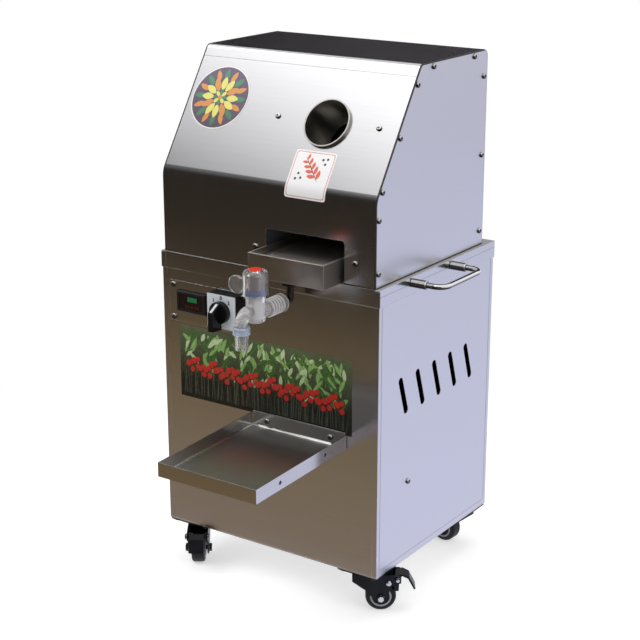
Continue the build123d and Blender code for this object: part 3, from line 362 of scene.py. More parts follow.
for i in range(bunch_count):
    share = i / (bunch_count - 1)
    middle = print_left + bunch_edge + (print_width - 2 * bunch_edge) * share
    level = bunch_level - bunch_fall * share + bunch_wave * sin(i * 1.9)
    for u, v, radius in ((-4.4, 3.5, 6.0), (3.8, -6.0, 5.4), (3.4, 7.0, 5.0)):
        layer -= ink_step
        shade_ring = [(middle + u + 0.5 + a, layer, level + v - 0.7 + b) for a, b in ring_points(radius, 20)]
        flat_shape(front_print, shade_ring, 6)
        layer -= ink_step
        berry = [(middle + u + a, layer, level + v + b) for a, b in ring_points(radius - 0.5, 20)]
        flat_shape(front_print, berry, 5)
piece("front_print", front_print, "cabinet", "stainless", *print_inks)


# Hood: the same brushed sheet in two bent pieces that meet near the top of the slant.
# Flat side panels close it, set in flush and held by button-head screws of bright plated steel.
dress(front_steel, "hood_front_sheet", "hood_top_sheet")
dress(side_steel, "hood_left_panel", "hood_right_panel")


def plated_steel(name, colour, shade_colour, roughness, under=-0.6, over=2.0):
    """Bright plating, nearly mirror smooth, with painted shade underneath and in its corners and a painted
    dark reflection on its tops.

    under and over are the upward parts of the normal about which a face counts as underneath and gets painted
    shade, or as a top that gets the painted dark reflection.
    """
    plating = blank(name)
    mapped = add(plating, "TexCoord")
    place = mapped.outputs["Object"]
    facing = add(plating, "SeparateXYZ", {"Vector": mapped.outputs["Normal"]})
    # Painted shade: faces underneath and corners found by ambient occlusion take the shade colour, and so do
    # tops above over as a painted dark reflection.
    facing_up = add(
        plating, "MapRange", {"Value": facing.outputs["Z"], "From Min": under - 0.3, "From Max": under + 0.3}
    )
    not_top = add(
        plating, "MapRange", {"Value": facing.outputs["Z"], "From Min": over + 0.07, "From Max": over - 0.07}
    )
    corners = add(plating, "AmbientOcclusion", {"Distance": 2.5 * mm}, samples=6)
    open_faces = add(
        plating, "Math", {0: not_top.outputs["Result"], 1: corners.outputs["AO"]}, operation="MULTIPLY"
    )
    unshaded = add(plating, "Math", {0: facing_up.outputs["Result"], 1: open_faces.outputs[0]}, operation="MULTIPLY")
    tone = add(plating, "Mix", {0: unshaded.outputs[0], 6: linear(shade_colour), 7: linear(colour)}, data_type="RGBA")
    haze = add(plating, "TexNoise", {"Vector": place, "Scale": 1 / (4 * mm), "Detail": 3.0})
    dulled = add(
        plating,
        "MapRange",
        {
            "Value": haze.outputs["Fac"],
            "From Min": 0.3,
            "From Max": 0.7,
            "To Min": roughness * 0.7,
            "To Max": roughness * 1.4,
        },
    )
    soft = add(plating, "Bevel", {"Radius": 0.4 * mm}, samples=4)
    dents = add(
        plating,
        "Bump",
        {
            "Height": haze.outputs["Fac"],
            "Strength": 0.08,
            "Distance": 0.05 * mm,
            "Normal": soft.outputs["Normal"],
        },
    )
    return shade(
        plating,
        {
            "Base Color": tone.outputs[2],
            "Metallic": 1.0,
            "Roughness": dulled.outputs["Result"],
            "Normal": dents.outputs["Normal"],
        },
    )


# Screw heads get painted shade on their lower half and in their recesses.
screw_plating = plated_steel("nickel_plated_screw", "#d0ceca", "#1c1a18", 0.1, 0.1)
dress(screw_plating, "panel_screws", "caster_bolts")
hood_low, hood_high = [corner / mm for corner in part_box("hood_front_sheet")]
top_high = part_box("hood_top_sheet")[1] / mm
slant_foot = Vector((0, hood_low.y, 686.0))
slant_lean = radians(33.265)
foot_bend, head_bend = 35.0, 12.0


def hood_edge(inset):
    """The hood's outline in (y, z), moved in from its edge, with its two bends drawn as arcs."""
    rise = top_high.z - inset - slant_foot.z
    foot = (slant_foot.y + inset, slant_foot.z - inset * tan(slant_lean / 2))
    head = (slant_foot.y + (sin(slant_lean) * rise + inset) / cos(slant_lean), top_high.z - inset)
    points = [(foot[0], deck_high.z + 0.4)]
    turn = pi - slant_lean
    bends = ((foot, foot_bend, pi, slant_lean), (head, head_bend, turn, pi / 2 - slant_lean))
    for (y, z), bend, start, sweep in bends:
        radius = bend - inset
        reach = radius * tan(sweep / 2)
        along = start - pi / 2
        middle = (
            y - reach * cos(along) - radius * cos(start),
            z - reach * sin(along) - radius * sin(start),
        )
        for i in range(9):
            angle = start - sweep * i / 8
            points.append((middle[0] + radius * cos(angle), middle[1] + radius * sin(angle)))
    return points + [(top_high.y - head_bend, top_high.z - inset)]


# Dark strips along the hood's side edges paint the shade seen at those edges.
strip_width, strip_lap, strip_proud = 2.3, 1.6, 0.3
edge_shadow = bmesh.new()
for sign in (-1, 1):
    near, far = sign * (hood_high.x - strip_lap), sign * (hood_high.x + strip_proud)
    rows = []
    for (y, z), (y_in, z_in) in zip(hood_edge(-strip_proud), hood_edge(strip_width)):
        corners = ((near, y, z), (far, y, z), (far, y_in, z_in), (near, y_in, z_in))
        rows.append([edge_shadow.verts.new(Vector(corner) * mm) for corner in corners])
    for below, above in zip(rows, rows[1:]):
        for i in range(4):
            j = (i + 1) % 4
            edge_shadow.faces.new((below[i], below[j], above[j], above[i]))
    edge_shadow.faces.new(rows[0])
    edge_shadow.faces.new(rows[-1])


def shadow_strip(name, colour, pale):
    """Dark matt strip that paints the shadow along an edge or gap, slightly lumpy."""
    dark_strip = blank(name)
    place = add(dark_strip, "TexCoord").outputs["Object"]
    lumps = add(dark_strip, "TexNoise", {"Vector": place, "Scale": 1 / (3 * mm), "Detail": 2.0})
    tone = add(dark_strip, "Mix", {0: lumps.outputs["Fac"], 6: linear(colour), 7: linear(pale)}, data_type="RGBA")
    skin = add(dark_strip, "Bump", {"Height": lumps.outputs["Fac"], "Strength": 0.3, "Distance": 0.2 * mm})
    return shade(dark_strip, {"Base Color": tone.outputs[2], "Roughness": 0.5, "Normal": skin.outputs["Normal"]})


painted_shadow_black = shadow_strip("painted_shadow_strip", "#15130f", "#2a2622")
piece("hood_edge_shadow_strips", edge_shadow, "cabinet", "stainless", painted_shadow_black)
# The foot strips paint the shadow gap under the hood's foot and the dark line at the deck's two front
# corners.
foot_z = (deck_high.z + 0.1, deck_high.z + 2.0)
slot_right = 146.0
foot_shadow = [
    block((hood_high.x - 1, hood_high.x + 0.6), (hood_low.y + 2, top_high.y), foot_z, 0.25),
    block((-hood_high.x - 0.6, -hood_high.x + 1), (hood_low.y + 2, top_high.y), foot_z, 0.25),
    block((slot_right, hood_high.x - 1), (hood_low.y - 0.5, hood_low.y + 1), foot_z, 0.2),
]
for sign in (-1, 1):
    corner = sorted((sign * (deck_high.x - 0.9), sign * (deck_high.x + 0.25)))
    drop = (deck_low.z + 1, deck_high.z - 2.5)
    foot_shadow.append(block(corner, (deck_low.y - 0.25, deck_low.y + 0.8), drop, 0.1))
piece("hood_foot_shadow_strips", joined(foot_shadow), "cabinet", "stainless", painted_shadow_black)


# Slant stickers: a round vinyl disc printed as a rosette, and a white label with a leafy sprig.
# Both are stuck to the slanted sheet; the label's foot is pressed round the bend below it.
slant_up = Vector((0, sin(slant_lean), cos(slant_lean)))
slant_out = Vector((0, -cos(slant_lean), sin(slant_lean)))
bend_reach = foot_bend * tan(slant_lean / 2)


def on_hood(x, along, lift):
    """Point in mm on the hood: up the slant from its foot, or down the front where along is below zero."""
    down = slant_foot + Vector((0, 0, min(along, -bend_reach)))
    up = slant_foot + slant_up * max(along, bend_reach)
    if along <= -bend_reach:
        return Vector((x, down.y - lift, down.z))
    if along >= bend_reach:
        return Vector((x, up.y, up.z)) + slant_out * lift
    t = (along + bend_reach) / (2 * bend_reach)
    corner = slant_foot + (slant_out + Vector((0, -1, 0))).normalized() * lift
    low = down + Vector((0, -lift, 0))
    high = up + slant_out * lift
    point = low * (1 - t) ** 2 + corner * (2 * t * (1 - t)) + high * t ** 2
    return Vector((x, point.y, point.z))


# The stickers' inks darken towards their foot: painted shade.
disc_top, disc_foot = 860.0, 740.0
disc_inks = [
    printed_vinyl("vinyl_disc_border", "#ece9e6", "#dedad6", disc_top, disc_foot),
    printed_vinyl("vinyl_disc_plum", "#6a5a76", "#463b44", disc_top, disc_foot),
    printed_vinyl("vinyl_disc_yellow", "#e2dd7c", "#d3c95a", disc_top, disc_foot),
    printed_vinyl("vinyl_disc_orange", "#d99a52", "#bf7a3a", disc_top, disc_foot),
    printed_vinyl("vinyl_disc_green", "#4f9468", "#356a4a", disc_top, disc_foot),
]
disc_x, disc_along, disc_radius = -141.0, 134.0, 55.0
disc = bmesh.new()


def on_disc(u, v, lift):
    """Point on the round sticker, from its centre."""
    return on_hood(disc_x + u, disc_along + v, lift)


flat_shape(disc, [on_disc(u, v, 0.22) for u, v in ring_points(disc_radius)], 0)
flat_shape(disc, [on_disc(u, v, 0.26) for u, v in ring_points(disc_radius - 2.0)], 1)
for count, length, width, middle, inks, lift in (
    (16, 22.0, 9.0, 39.0, (4, 3), 0.30),
    (12, 24.0, 11.5, 24.0, (2, 3, 2), 0.34),
    (8, 12.0, 6.5, 8.0, (4, 2), 0.38),
):
    for i in range(count):
        petal = [(u, v + middle) for u, v in leaf_points(length, width)]
        outline = turned(petal, 360.0 * i / count)
        flat_shape(disc, [on_disc(u, v, lift) for u, v in outline], inks[i % len(inks)])
flat_shape(disc, [on_disc(u, v, 0.42) for u, v in ring_points(4.0, 24)], 3)
piece("round_sticker", disc, "cabinet", "stainless", *disc_inks)

label_top, label_foot = 745.0, 672.0
label_inks = [
    printed_vinyl("vinyl_label_white", "#ebe9ea", "#dddbdc", label_top, label_foot),
    printed_vinyl("vinyl_label_border", "#cf6a60", "#c25a50", label_top, label_foot),
    printed_vinyl("vinyl_label_orange", "#dc6146", "#cd5039", label_top, label_foot),
    printed_vinyl("vinyl_label_dark", "#3f3c3c", "#2f2c2c", label_top, label_foot),
]
label_x = 74.0
label_low, label_high = -13.0, 66.0
label_half = 37.5
label_corner = 4.0
label = bmesh.new()
for inset, lift, ink in ((0.0, 0.2, 0), (2.6, 0.24, 1), (3.6, 0.28, 0)):
    half = label_half - inset
    low, high = label_low + inset, label_high - inset
    levels = [low + label_corner * share for share in (0, 0.15, 0.45, 1)]
    levels += [bend_reach * i / 6 for i in range(-6, 7) if bend_reach * i / 6 > low + label_corner]
    levels += [high - label_corner * share for share in (1, 0.45, 0.15, 0)]
    rows = []
    for along in levels:
        reach = label_corner - min(label_corner, along - low, high - along)
        half_here = half - label_corner + (label_corner ** 2 - reach ** 2) ** 0.5
        ends = (label_x - half_here, label_x + half_here)
        rows.append([label.verts.new(on_hood(x, along, lift) * mm) for x in ends])
    for below, above in zip(rows, rows[1:]):
        face = label.faces.new((below[0], below[1], above[1], above[0]))
        face.material_index = ink
sprig_along, sprig_lean = 36.0, 40.0
sprig = [(turned(leaf_points(54.0, 1.8), sprig_lean), 3)]
for i in range(9):
    length = 16.5 - 0.7 * i
    leaf = [(u, v + length / 2) for u, v in leaf_points(length, 7.0 - 0.3 * i)]
    leaf = turned(leaf, 48.0 if i % 2 else -48.0)
    sprig.append((turned([(u, v + 4.9 * i - 21.0) for u, v in leaf], sprig_lean), 2))
for u, v in ((21.0, 10.0), (15.5, 17.0), (23.5, 18.5), (-21.0, -9.0), (-15.0, -16.0), (-24.0, -18.0)):
    sprig.append(([(u + across, v + up) for across, up in ring_points(2.1, 20)], 3))
for i, (outline, ink) in enumerate(sprig):
    flat_shape(label, [on_hood(label_x + u, sprig_along + v, 0.31 + 0.005 * i) for u, v in outline], ink)
piece("sprig_label", label, "cabinet", "stainless", *label_inks)


# Feed tube and waste chute: stainless tube and folded sheet, both satin from the welder's polishing.
# The tube is welded to a ring behind the slant; the chute is folded up and spot welded.
tube_steel = brushed_stainless("stainless_tube", "#c9c6c1", "#9d9993", (3.0, 40, 40), 0.3)
dress(tube_steel, "feed_tube")
dress(front_steel, "rear_chute")


# Mill: three turned stainless rollers in bronze bushes between plates, driven through steel spur gears.
# A worm gearbox and a black enamelled motor hang beside it; only glimpses show through the slot.
def turned_metal(name, light, dark, roughness, groove):
    """Machined metal: fine grooves round the X axis from the lathe tool.

    A real tool's feed is about 0.2 mm; the grooves are drawn coarser so that they show.
    """
    metal = blank(name)
    place = add(metal, "TexCoord").outputs["Object"]
    drawn = add(metal, "Mapping", {"Vector": place, "Scale": (1 / (groove * mm), 20.0, 20.0)})
    grooves = add(metal, "TexNoise", {"Vector": drawn.outputs[0], "Scale": 1.0, "Detail": 3.0})
    tone = add(metal, "Mix", {0: grooves.outputs["Fac"], 6: linear(dark), 7: linear(light)}, data_type="RGBA")
    cut = add(metal, "Bump", {"Height": grooves.outputs["Fac"], "Strength": 0.4, "Distance": 0.2 * mm})
    return shade(
        metal,
        {
            "Base Color": tone.outputs[2],
            "Metallic": 1.0,
            "Roughness": roughness,
            "Normal": cut.outputs["Normal"],
        },
    )


def enamel(name, colour, worn, roughness, grit):
    """Sprayed enamel over metal: orange-peel texture with slightly paler rubbed patches."""
    paint = blank(name)
    place = add(paint, "TexCoord").outputs["Object"]
    peel = add(paint, "TexNoise", {"Vector": place, "Scale": 1 / (grit * mm), "Detail": 2.0})
    rubbed = add(paint, "TexNoise", {"Vector": place, "Scale": 1 / (25 * mm), "Detail": 4.0})
    patch = add(paint, "MapRange", {"Value": rubbed.outputs["Fac"], "From Min": 0.5, "From Max": 0.75})
    tone = add(
        paint, "Mix", {0: patch.outputs["Result"], 6: linear(colour), 7: linear(worn)}, data_type="RGBA"
    )
    soft = add(paint, "Bevel", {"Radius": 0.5 * mm}, samples=4)
    skin = add(
        paint,
        "Bump",
        {
            "Height": peel.outputs["Fac"],
            "Strength": 0.15,
            "Distance": 0.1 * mm,
            "Normal": soft.outputs["Normal"],
        },
    )
    return shade(
        paint,
        {"Base Color": tone.outputs[2], "Roughness": roughness, "IOR": 1.3, "Normal": skin.outputs["Normal"]},
    )


roller_steel = turned_metal("stainless_turned_roller", "#c9c7c4", "#93908c", 0.3, 1.2)
gear_steel = turned_metal("carbon_steel_cut_gear", "#8f8b86", "#5f5b57", 0.4, 2.0)
dress(roller_steel, "top_roller", "front_roller", "rear_roller")
dress(gear_steel, "top_gear", "front_gear", "rear_gear")
dress(turned_metal("bronze_bush", "#c9a15a", "#8f6c34", 0.35, 1.5), "roller_bushes")
plate_paint = enamel("grey_enamel_plate", "#70757a", "#8a8f93", 0.5, 1.0)
dress(plate_paint, "left_frame_plate", "right_frame_plate", "gearbox_stand", "frame_spacers")
dress(post_steel, "scraper_bar")
dress(enamel("cast_iron_painted", "#4a4f54", "#6a6f74", 0.55, 1.6), "worm_gearbox")
dress(enamel("motor_black_enamel", "#1d1f21", "#34373a", 0.42, 1.2), "drive_motor")


# Batteries and charging socket: moulded black ABS, with the fine grain of an eroded mould.
# The batteries stand on the base; the socket's flange is seated in the back sheet.
def moulded_plastic(name, colour, pale, roughness, grain, depth=0.12):
    """Moulded plastic: fine pebbled grain, and a slight sheen where it has been handled.

    A real mould's grain is about 0.2 mm; it is drawn coarser so that it shows.
    """
    plastic = blank(name)
    place = add(plastic, "TexCoord").outputs["Object"]
    pebbles = add(plastic, "TexVoronoi", {"Vector": place, "Scale": 1 / (grain * mm)})
    cloud = add(plastic, "TexNoise", {"Vector": place, "Scale": 1 / (18 * mm), "Detail": 3.0})
    tone = add(
        plastic, "Mix", {0: cloud.outputs["Fac"], 6: linear(colour), 7: linear(pale)}, data_type="RGBA"
    )
    gloss = add(
        plastic,
        "MapRange",
        {
            "Value": cloud.outputs["Fac"],
            "From Min": 0.3,
            "From Max": 0.7,
            "To Min": roughness - 0.06,
            "To Max": roughness + 0.06,
        },
    )
    soft = add(plastic, "Bevel", {"Radius": 0.5 * mm}, samples=4)
    skin = add(
        plastic,
        "Bump",
        {
            "Height": pebbles.outputs["Distance"],
            "Strength": depth,
            "Distance": 0.08 * mm,
            "Normal": soft.outputs["Normal"],
        },
    )
    return shade(
        plastic,
        {
            "Base Color": tone.outputs[2],
            "Roughness": gloss.outputs["Result"],
            "IOR": 1.34,
            "Normal": skin.outputs["Normal"],
        },
    )


black_abs = moulded_plastic("abs_black_moulded", "#161618", "#1f1f22", 0.42, 0.8)
dress(moulded_plastic("abs_battery_case", "#1a1b1d", "#26282b", 0.5, 1.2), "batteries")
dress(black_abs, "charge_socket")


# Juice tray and cup tray: thin stainless sheet folded up at the edges and hemmed.
# The juice tray slides under the mill; the cup tray sits on an angle bracket screwed to the front.
# Black plugs sit in two holes in the cup tray's side, so that the holes show dark.
tray_steel = brushed_stainless("stainless_tray", "#cac8c6", "#b6b4b2", (1.8, 110, 1.8), 0.17, 1.0, 0.13)
juice_steel = brushed_stainless("stainless_juice_tray", "#d0c9c2", "#bcb5ae", (90, 1.8, 1.8), 0.32, 2.0, 0.24)
dress(tray_steel, "cup_tray", "tray_bracket")
dress(juice_steel, "juice_tray")


def lathe(profile, origin, axis, steps=32):
    """Ring or dome turned from (radius, height) points in mm about an axis through origin."""
    shape = bmesh.new()
    frame_z = Vector(axis).normalized()
    frame_x = frame_z.orthogonal().normalized()
    frame_y = frame_z.cross(frame_x)
    rings = []
    for radius, height in profile:
        ring = []
        for i in range(steps if radius > 0 else 1):
            turn = 2 * pi * i / steps
            out = frame_x * (radius * cos(turn)) + frame_y * (radius * sin(turn))
            ring.append(shape.verts.new((Vector(origin) + out + frame_z * height) * mm))
        rings.append(ring)
    for low, high in zip(rings, rings[1:]):
        for i in range(steps):
            j = (i + 1) % steps
            corners = [low[i % len(low)], low[j % len(low)], high[j % len(high)], high[i % len(high)]]
            unique = list(dict.fromkeys(corners))
            if len(unique) > 2:
                shape.faces.new(unique)
    return shape


eyelet_place = (12.0, -178.0, 577.3)
eyelet = lathe(
    [(2.2, 0.05), (2.4, 0.5), (3.2, 0.7), (4.0, 0.5), (4.3, 0.05)], eyelet_place, (0, 0, 1)
)
piece("juice_tray_eyelet", eyelet, "tray", "stainless", post_steel, smooth=True)

cup_low, cup_high = [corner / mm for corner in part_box("cup_tray")]
cup_wall, cup_rise = 1.2, 6.5
cup_fold = 3.0


def cove(start, end, out, radius, steps=6):
    """Concave strip along an inside corner from start to end; out points away from the wall."""
    strip = bmesh.new()
    out, rise = Vector(out), Vector((0, 0, 1))
    middle = out * radius + rise * radius
    rows = []
    for i in range(steps + 1):
        turn = pi / 2 * i / steps
        offset = middle - out * (radius * cos(turn)) - rise * (radius * sin(turn))
        rows.append([strip.verts.new((Vector(end_point) + offset) * mm) for end_point in (start, end)])
    rows.append([strip.verts.new(Vector(end_point) * mm) for end_point in (start, end)])
    for below, above in zip(rows, rows[1:] + rows[:1]):
        strip.faces.new((below[0], below[1], above[1], above[0]))
    for side in (0, 1):
        strip.faces.new([row[side] for row in rows])
    return strip


cup_left, cup_right = cup_low.x + cup_wall, cup_high.x - cup_wall
cup_front, cup_back = cup_low.y + cup_wall, cup_high.y
front_floor_z = cup_low.z + cup_wall
back_floor_z = front_floor_z + cup_rise
cup_folds = [
    cove((cup_left, cup_front, front_floor_z), (cup_left, cup_back, back_floor_z), (1, 0, 0), cup_fold),
    cove((cup_right, cup_front, front_floor_z), (cup_right, cup_back, back_floor_z), (-1, 0, 0), cup_fold),
    cove((cup_left, cup_front, front_floor_z), (cup_right, cup_front, front_floor_z), (0, 1, 0), cup_fold),
    cove((cup_left, cup_back, back_floor_z), (cup_right, cup_back, back_floor_z), (0, -1, 0), cup_fold),
]
piece("cup_tray_folds", joined(cup_folds), "cabinet", "stainless", tray_steel)
plug = [(0, -1.4), (3.1, -1.4), (3.1, -0.5), (2.5, -0.2), (0, -0.2)]
plug_level = cup_low.z + 11.5
plugs = []
for reach in (60.0, 179.0):
    plug_z = plug_level + cup_rise * reach / (cup_high.y - cup_low.y)
    plugs.append(lathe(plug, (cup_high.x, cup_low.y + reach, plug_z), (1, 0, 0), 24))
piece("cup_tray_plugs", joined(plugs), "cabinet", "black_plastic", black_abs)


# Tap: injection-moulded clear polycarbonate with a red push-in button and a blue seal ring.
# A black nut holds its smoked elbow under the tray's drain, and a pale blue nut holds the nozzle.
def clear_plastic(name, colour, roughness, ripple, transmission=1.0, flow_size=9.0):
    """Clear moulding: glassy, with ripples flow_size mm long where the plastic flowed into its mould.

    A transmission below 1 gives it the slight milkiness of a thick wall.
    """
    clear = blank(name)
    place = add(clear, "TexCoord").outputs["Object"]
    flow = add(clear, "TexNoise", {"Vector": place, "Scale": 1 / (flow_size * mm), "Detail": 2.0})
    haze = add(
        clear,
        "MapRange",
        {
            "Value": flow.outputs["Fac"],
            "From Min": 0.3,
            "From Max": 0.7,
            "To Min": roughness * 0.6,
            "To Max": roughness * 1.5,
        },
    )
    wave = add(clear, "Bump", {"Height": flow.outputs["Fac"], "Strength": ripple, "Distance": 0.5 * mm})
    return shade(
        clear,
        {
            "Base Color": linear(colour),
            "Roughness": haze.outputs["Result"],
            "IOR": 1.52,
            "Transmission Weight": transmission,
            "Normal": wave.outputs["Normal"],
        },
    )


tap_clear = clear_plastic("polycarbonate_clear", "#f6f5f6", 0.03, 0.35, 0.9)
dress(tap_clear, "hose_nozzle")
dress(clear_plastic("polycarbonate_smoked_elbow", "#5a4a3a", 0.05, 0.3, 0.9), "tap_elbow")
dress(clear_plastic("polycarbonate_clear_body", "#f6f5f6", 0.03, 0.6, 0.83, 4.0), "tap_body")
dress(clear_plastic("polycarbonate_clear_cap", "#f6f3f4", 0.03, 0.2, 0.93), "tap_head")
dress(clear_plastic("polypropylene_pale_blue", "#cfdcf0", 0.25, 0.1, 0.6), "spout_collar")
dress(moulded_plastic("abs_red_button", "#d8402a", "#c93420", 0.3, 0.6, 0.05), "tap_button")
dress(moulded_plastic("silicone_blue_seal", "#2f5fb8", "#3f70c8", 0.35, 0.6, 0.05), "tap_seal")
dress(moulded_plastic("nylon_dark_nut", "#0d0a09", "#17110f", 0.45, 0.7), "drain_nut")
tap_x, tap_y, shank_z = 64.0, -292.6, 520.0
rib_start, rib_end, rib_count = -237.0, -263.0, 5
ribs = []
for i in range(rib_count):
    y = rib_start + (rib_end - rib_start) * i / (rib_count - 1)
    ribs.append(
        lathe([(12.9, -1.1), (14.2, -0.4), (14.2, 0.4), (12.9, 1.1)], (tap_x, y, shank_z), (0, 1, 0), 40)
    )
rib_clear = clear_plastic("polycarbonate_moulded_ribs", "#f2f1f2", 0.1, 0.3, 0.55)
piece("tap_shank_ribs", joined(ribs), "tray", "clear_plastic", rib_clear)
valve_core = lathe(
    [(0, -10.5), (5.0, -10.5), (8.0, -7.0), (9.0, 2.0), (9.0, 14.0), (6.5, 17.0), (6.5, 28.0), (0, 28.0)],
    (tap_x, tap_y, shank_z), (0, 0, 1), 40,
)
core_white = clear_plastic("polyethylene_natural_core", "#f6f5f6", 0.4, 0.4, 0.0)
piece("tap_valve_core", valve_core, "tray", "pale_plastic", core_white, smooth=True)


# Side handles: bent steel rod and turned ferrules, polished and chrome plated, screwed from inside.
# Chrome mirrors the room in dark and light bands; on top of that a painted dark reflection lies on its top
# and painted shade under it.
dress(plated_steel("chrome_plate", "#e6e6e8", "#1f1d1c", 0.05, 0.02, 0.88), "side_handles")


# Controls: a meter in a black bezel and a cam switch with a printed aluminium plate.
# Both are clipped through the control plate, which four screws hold to the front sheet.
dress(black_abs, "meter_case", "switch_base")
window = clear_plastic("acrylic_smoked", "#1a0c0c", 0.06, 0.02, 0.0)
dress(window, "meter_window")
dress(enamel("aluminium_silver_lacquer", "#c3c7cb", "#cdd0d3", 0.4, 0.6), "switch_plate")
knob_black = moulded_plastic("abs_black_gloss", "#0c0c0e", "#141416", 0.2, 0.9, 0.04)
dress(knob_black, "switch_knob")


def lit_segment(name, colour, strength):
    """Lit display segment behind smoked acrylic: dim, a little uneven."""
    lit = blank(name)
    place = add(lit, "TexCoord").outputs["Object"]
    grid = add(lit, "TexNoise", {"Vector": place, "Scale": 1 / (2 * mm), "Detail": 1.0})
    dimmer = [channel * 0.6 for channel in linear(colour)[:3]] + [1.0]
    tone = add(lit, "Mix", {0: grid.outputs["Fac"], 6: dimmer, 7: linear(colour)}, data_type="RGBA")
    return shade(
        lit,
        {
            "Base Color": tone.outputs[2],
            "Roughness": 0.25,
            "Emission Color": tone.outputs[2],
            "Emission Strength": strength,
        },
    )


window_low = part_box("meter_window")[0] / mm
glow_y = (window_low.y - 0.25, window_low.y + 0.2)
green_left, green_width, green_pitch = -156.0, 6.2, 6.5
green_bars = []
for i in range(3):
    left = green_left + green_pitch * i
    green_bars.append(block((left, left + green_width), glow_y, (472.5, 480.5), 0.1))
red_left, red_width, red_pitch = -161.0, 4.0, 6.0
red_bars = []
for i in range(5):
    left = red_left + red_pitch * i
    red_bars.append(block((left, left + red_width), glow_y, (461.0 + i % 2 * 1.5, 466.5), 0.1))
green_glow = lit_segment("display_green", "#1f7048", 0.12)
red_glow = lit_segment("display_red", "#45130f", 0.06)
piece("meter_green_bars", joined(green_bars), "cabinet", "meter_window", green_glow)
piece("meter_red_bars", joined(red_bars), "cabinet", "meter_window", red_glow)

plate_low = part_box("switch_plate")[0] / mm
knob_x, knob_z = -78.0, 471.5
mark_ink = moulded_plastic("screen_ink_dark", "#1b1b1e", "#262629", 0.5, 0.5, 0.03)
mark_size, mark_reach, mark_bold, mark_thick = 8.5, 23.0, 0.34, 0.06
for text, turn in (("1", 42.0), ("0", 0.0), ("2", -42.0)):
    curve = bpy.data.curves.new("numeral_curve", "FONT")
    curve.body = text
    curve.size = mark_size * mm
    curve.align_x = "CENTER"
    curve.align_y = "CENTER"
    curve.extrude = mark_thick * mm
    curve.offset = mark_bold * mm
    drawn = bpy.data.objects.new("numeral_drawn", curve)
    bpy.context.scene.collection.objects.link(drawn)
    bpy.context.view_layer.update()
    mesh = bpy.data.meshes.new_from_object(drawn.evaluated_get(bpy.context.evaluated_depsgraph_get()))
    bpy.data.objects.remove(drawn)
    bpy.data.curves.remove(curve)
    numeral = bmesh.new()
    numeral.from_mesh(mesh)
    bpy.data.meshes.remove(mesh)
    across, up = turned([(0.0, mark_reach)], turn)[0]
    middle = Vector((knob_x + across, plate_low.y - 0.08, knob_z + up))
    standing = Matrix.Translation(middle * mm) @ Matrix.Rotation(radians(90), 4, "X")
    bmesh.ops.transform(numeral, matrix=standing, verts=numeral.verts[:])
    piece(f"switch_numeral_{text}", numeral, "cabinet", "switch_plate", mark_ink)

pointer_half = 2.0
nose_back, nose_front = (-206.0, 15.6), (-222.6, 5.9)
pointer = bmesh.new()
for lift, order in ((0.25, 1), (0.02, -1)):
    corners = [
        (knob_x - pointer_half, nose_back[0] - lift * 0.5, knob_z + nose_back[1] + lift),
        (knob_x + pointer_half, nose_back[0] - lift * 0.5, knob_z + nose_back[1] + lift),
        (knob_x + pointer_half, nose_front[0] - lift * 0.5, knob_z + nose_front[1] + lift),
        (knob_x - pointer_half, nose_front[0] - lift * 0.5, knob_z + nose_front[1] + lift),
    ]
    flat_shape(pointer, corners[::order], 0)
bmesh.ops.bridge_loops(pointer, edges=pointer.edges[:])
pointer_white = moulded_plastic("white_pointer_ink", "#e8e8ea", "#dcdcde", 0.35, 0.6, 0.03)
piece("knob_pointer", pointer, "knob", "black_plastic", pointer_white)


# Casters: pressed steel plates and forks in black enamel, with black polypropylene wheels.
# Zinc plated axle nuts, pedal pins and rivets are headed over the fork's cheeks.
caster_enamel = enamel("caster_black_enamel", "#090a12", "#151724", 0.36, 1.0)
tread = moulded_plastic("polypropylene_black_tread", "#0a0a0e", "#121218", 0.5, 1.4)
# Zinc parts get painted shade underneath and in their corners.
zinc = plated_steel("zinc_plate", "#c3c5cc", "#3c3d42", 0.26)
ring_grey = moulded_plastic("polypropylene_grey_ring", "#9a9ba5", "#b0b1bb", 0.4, 1.0)
dress(caster_enamel, "caster_plates")
casters = {"front_left": -56.0, "front_right": 34.0, "rear_right": 175.0, "rear_left": 160.0}
swivel_x, swivel_y = 172.0, 147.5
trail, wheel_radius, wheel_half = 23.0, 25.0, 11.5
cheek_face = 18.0
pin_reach, pin_z = 50.0, 57.5
rivet_reach, rivet_z = 35.5, 52.0


def hexagon(origin, axis, across, height, chamfer):
    """Chamfered hexagon nut."""
    flat = across / 2 / cos(pi / 6)
    return lathe(
        [(0, 0), (flat, 0), (flat, height - chamfer), (flat - chamfer, height), (0, height)], origin, axis, 6
    )


